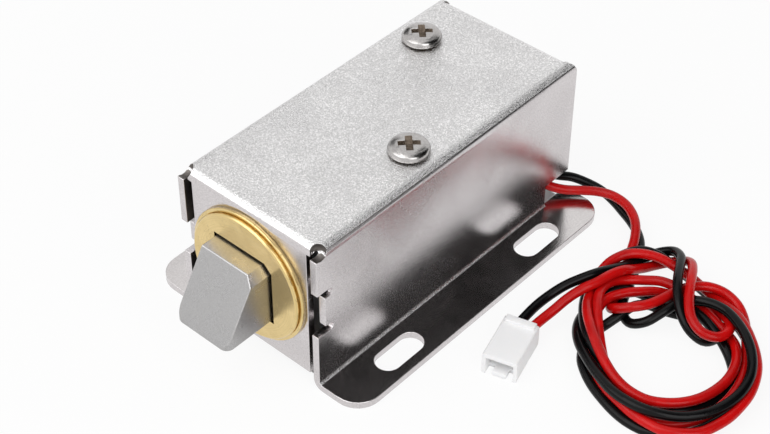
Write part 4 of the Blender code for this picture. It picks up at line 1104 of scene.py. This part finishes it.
@dataclass
class BoltUnit(Assembly):
    """What slides and guides: bush, bolt, cross pin, plunger and return spring."""

    spring_front: float = -17.2 * MM
    spring_rear: float = -3.85 * MM
    spring_radius: float = 4.85 * MM
    wire: float = 0.5 * MM
    wire_sides: int = 10
    turns: float = 6.0
    end_turns: float = 1.1
    steps: int = 240
    spring_seat: float = -3.3 * MM
    kept_length: float = 0.278
    rim_from: float = 9.0 * MM
    rim_gap: float = 0.4 * MM
    rim_seat: float = 0.02 * MM
    shells: tuple[Shell, ...] = (
        Shell("bush", "brass", 0.07 * MM, (Finish.BRASS,)),
        Shell("bolt", "bolt_metal", 0.16 * MM, (Finish.CAST,), Body.BOLT),
        Shell("bolt_pin", "steel", 0.1 * MM, (Finish.STEEL,), Body.BOLT),
        Shell("plunger", "steel", 0.12 * MM, (Finish.STEEL,), Body.BOLT),
    )

    def build(self) -> None:
        """Build and dress all five pieces."""
        self.seat_rim(self.build_shells()["bush"].data)
        self.build_spring()

    def seat_rim(self, mesh: Mesh) -> None:
        """Let the back of the bush's rim touch the front plate.

        Args:
            mesh: the bush's mesh.
        """
        for vertex in mesh.vertices:
            away = math.hypot(vertex.co.x, vertex.co.z - AXIS_HEIGHT)
            if away > self.rim_from and FACE_Y - self.rim_gap < vertex.co.y < FACE_Y:
                vertex.co.y = FACE_Y - self.rim_seat

    def build_spring(self) -> None:
        """Wind the return spring, with its end turns closed, along a parametric helix."""
        tree, given, result = new_group("Return Spring", "GeometryNodeTree", {
            "Turns": self.turns, "End Turns": self.end_turns, "Radius": self.spring_radius,
            "Wire": self.wire, "Length": self.spring_rear - self.spring_front,
            "Front": (0.0, self.spring_front, AXIS_HEIGHT), "Finish": "NodeSocketMaterial",
        }, {"Geometry": "NodeSocketGeometry"})
        line = tree.add("GeometryNodeCurvePrimitiveLine")
        fine = tree.add("GeometryNodeResampleCurve", Curve=line, Count=self.steps + 1)
        along = tree.math("DIVIDE", tree.add("GeometryNodeInputIndex"), float(self.steps))
        angle = tree.times(along, tree.times(given["Turns"], math.tau))
        share = tree.math("DIVIDE", given["End Turns"], given["Turns"])
        rise = tree.times(given["End Turns"], given["Wire"])
        far = tree.inverse(share)
        open_length = tree.math("SUBTRACT", given["Length"], tree.times(rise, 2.0))
        depth = 0.0
        for start, end, climb in ((0.0, share, rise), (far, 1.0, rise), (share, far, open_length)):
            stretch = tree.add("MapRange", Value=along, From_Min=start, From_Max=end, To_Max=climb)
            depth = tree.math("ADD", depth, stretch)
        across = tree.times(tree.math("COSINE", angle), given["Radius"])
        height = tree.times(tree.math("SINE", angle), given["Radius"])
        point = tree.add("CombineXYZ", X=across, Y=depth, Z=height)
        place = tree.add("VectorMath", {"operation": "ADD"}, i0=point, i1=given["Front"])
        helix = tree.add("GeometryNodeSetPosition", Geometry=fine, Position=place)
        ring = tree.add("GeometryNodeCurvePrimitiveCircle", Resolution=self.wire_sides,
                        Radius=tree.math("DIVIDE", given["Wire"], 2.0))
        wire = tree.add("GeometryNodeCurveToMesh", Curve=helix, Profile_Curve=ring, Fill_Caps=True)
        spring = finish_tree(tree, given, result, wire, "spring_coil", *self.shop.get(Finish.SPRING))
        mount(spring, Body.ROOT, "spring_steel", "return_spring")
        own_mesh(spring)


@dataclass
class Magnet(Assembly):
    """The yoke, pole plate, core, sleeve, bobbin and winding inside the case."""

    wire: float = 0.4 * MM
    wire_sides: int = 8
    ring_sides: int = 64
    winding_depth: float = 1.6 * MM
    core_gap: float = 0.03 * MM
    shells: tuple[Shell, ...] = (
        Shell("yoke", "steel", 0.12 * MM, (Finish.STEEL,)),
        Shell("pole_plate", "steel", 0.1 * MM, (Finish.STEEL,)),
        Shell("fixed_core", "steel", 0.08 * MM, (Finish.STEEL,)),
        Shell("guide_sleeve", "brass", 0.05 * MM, (Finish.TUBE,)),
        Shell("bobbin", "spool_plastic", 0.12 * MM, (Finish.SPOOL,)),
    )

    def build(self) -> None:
        """Build and dress the magnet's pieces."""
        self.build_shells()
        dress("coil_tape", *self.shop.get(Finish.TAPE))
        self.build_winding()

    def build_winding(self) -> None:
        """Lay one outer row of wire turns over the body of the winding."""
        low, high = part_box("coil_winding")
        length = high[1] - low[1]
        tree, given, result = new_group("Coil Winding", "GeometryNodeTree", {
            "Turns": int(length / self.wire), "Wire": self.wire, "Outer Radius": (high[0] - low[0]) / 2,
            "Depth": self.winding_depth, "Length": length,
            "Centre": tuple((Vector(low) + Vector(high)) / 2), "Finish": "NodeSocketMaterial",
        }, {"Geometry": "NodeSocketGeometry"})
        half = tree.math("DIVIDE", given["Wire"], 2.0)
        ring = tree.add("GeometryNodeCurvePrimitiveCircle", Resolution=self.ring_sides,
                        Radius=tree.math("SUBTRACT", given["Outer Radius"], half))
        wire = tree.add("GeometryNodeCurvePrimitiveCircle", Resolution=self.wire_sides, Radius=half)
        turn = tree.add("GeometryNodeCurveToMesh", Curve=ring, Profile_Curve=wire)
        span = tree.math("SUBTRACT", given["Length"], given["Wire"])
        start = tree.add("CombineXYZ", Z=tree.times(span, -0.5))
        end = tree.add("CombineXYZ", Z=tree.times(span, 0.5))
        line = tree.add("GeometryNodeMeshLine", {"mode": "END_POINTS"}, Count=given["Turns"],
                        Start_Location=start, Offset=end)
        row = tree.add("GeometryNodeInstanceOnPoints", Points=line, Instance=turn)
        core_depth = tree.math("SUBTRACT", given["Depth"], tree.math("ADD", half, self.core_gap))
        core_radius = tree.math("ADD", tree.math("SUBTRACT", given["Outer Radius"], given["Depth"]),
                                tree.times(core_depth, 0.5))
        core_ring = tree.add("GeometryNodeCurvePrimitiveCircle", Resolution=self.ring_sides, Radius=core_radius)
        core_shape = tree.add("GeometryNodeCurvePrimitiveQuadrilateral", Width=core_depth, Height=given["Length"])
        core = tree.add("GeometryNodeCurveToMesh", Curve=core_ring, Profile_Curve=core_shape)
        both = tree.add("GeometryNodeJoinGeometry")
        tree.join(row, both.inputs[0])
        tree.join(core, both.inputs[0])
        laid = tree.add("GeometryNodeTransform", Geometry=both, Rotation=(math.pi / 2, 0.0, 0.0),
                        Translation=given["Centre"])
        winding = finish_tree(tree, given, result, laid, "winding_turns", *self.shop.get(Finish.COPPER))
        mount(winding, Body.ROOT, "copper", "coil_winding")


@dataclass(frozen=True)
class Lead:
    """One lead: its route, its looks, the CAD nodes that it stands for and those that it carries."""

    name: str
    route: list[Point]
    finish: Finish
    slot: str
    nodes: tuple[str, ...]
    carried: tuple[str, ...]


@dataclass
class Leads(Assembly):
    """The red and the black lead with the white connector that they end in."""

    diameter: float = 1.5 * MM
    step: float = 0.6 * MM
    sides: int = 18
    parts: int = 12
    shells: tuple[Shell, ...] = (
        Shell("connector_housing", "white_plastic", 0.14 * MM, (Finish.HOUSING,)),
        Shell("red_contact", "tin", 0.06 * MM, (Finish.TIN,)),
        Shell("black_contact", "tin", 0.06 * MM, (Finish.TIN,)),
    )
    leads: tuple[Lead, ...] = (
        Lead("red_wire", RED_ROUTE, Finish.RED, "red_insulation",
             ("red_lead", "red_lead_end", "lead_coil"), ("connector_housing", "red_contact")),
        Lead("black_wire", BLACK_ROUTE, Finish.BLACK, "black_insulation",
             ("black_lead", "black_lead_end"), ("black_contact",)),
    )

    def build(self) -> None:
        """Build the connector first, then each lead as a tube in place of its CAD nodes."""
        ends = self.build_shells()
        for lead in self.leads:
            path = self.smooth_path([Vector((x * MM, y * MM + FACE_Y, z * MM)) for x, y, z in lead.route])
            piece = add_piece(lead.name, self.tube(lead.name, path), self.shop.get(lead.finish))
            mount(piece, Body.ROOT, lead.slot, *lead.nodes)

    def smooth_path(self, points: list[Vector]) -> list[Vector]:
        """Run one smooth curve through the route's points, in even steps.

        Args:
            points: the route's points.

        Returns:
            Points about one step apart.
        """
        ends = [2 * points[0] - points[1], *points, 2 * points[-1] - points[-2]]
        fine = [points[0]]
        for before, start, end, after in zip(ends, ends[1:], ends[2:], ends[3:]):
            for part in range(1, self.parts + 1):
                t = part / self.parts
                square = (2 * before - 5 * start + 4 * end - after) * t ** 2
                cube = (3 * start - before - 3 * end + after) * t ** 3
                fine.append(0.5 * (2 * start + (end - before) * t + square + cube))
        lengths = np.cumsum([0.0] + [(b - a).length for a, b in zip(fine, fine[1:])])
        steps = np.linspace(0.0, lengths[-1], int(lengths[-1] / self.step) + 1)
        columns = [np.interp(steps, lengths, [point[axis] for point in fine]) for axis in range(3)]
        return [Vector(point) for point in zip(*columns)]

    def tube(self, name: str, path: list[Vector]) -> Mesh:
        """Draw a round tube along a path without twist, closed at both ends.

        Args:
            name: name of the mesh.
            path: the points that it follows.

        Returns:
            The tube's mesh.
        """
        bm = bmesh.new()
        along = [(path[min(i + 1, len(path) - 1)] - path[max(i - 1, 0)]).normalized() for i in range(len(path))]
        side = along[0].orthogonal().normalized()
        turns = [math.tau * k / self.sides for k in range(self.sides)]
        rings = []
        for point, ahead in zip(path, along):
            side = (side - side.dot(ahead) * ahead).normalized()
            other = ahead.cross(side)
            rings.append([bm.verts.new(point + self.diameter / 2 * (math.cos(a) * side + math.sin(a) * other))
                          for a in turns])
        for ring, following in zip(rings, rings[1:]):
            for k in range(self.sides):
                nxt = (k + 1) % self.sides
                bm.faces.new((ring[k], ring[nxt], following[nxt], following[k]))
        bm.faces.new(rings[0][::-1])
        bm.faces.new(rings[-1])
        bmesh.ops.recalc_face_normals(bm, faces=bm.faces)
        mesh = bpy.data.meshes.new(name)
        bm.to_mesh(mesh)
        bm.free()
        mesh.shade_smooth()
        return mesh


def main() -> None:
    """Build the studio and every sub-assembly in order."""
    Studio().build()
    shop = Workshop()
    for kind in (Leads, Case, Screws, BoltUnit, Magnet):
        log.info("Building %s", kind.__name__)
        kind(shop).build()


if __name__ == "__main__":
    main()
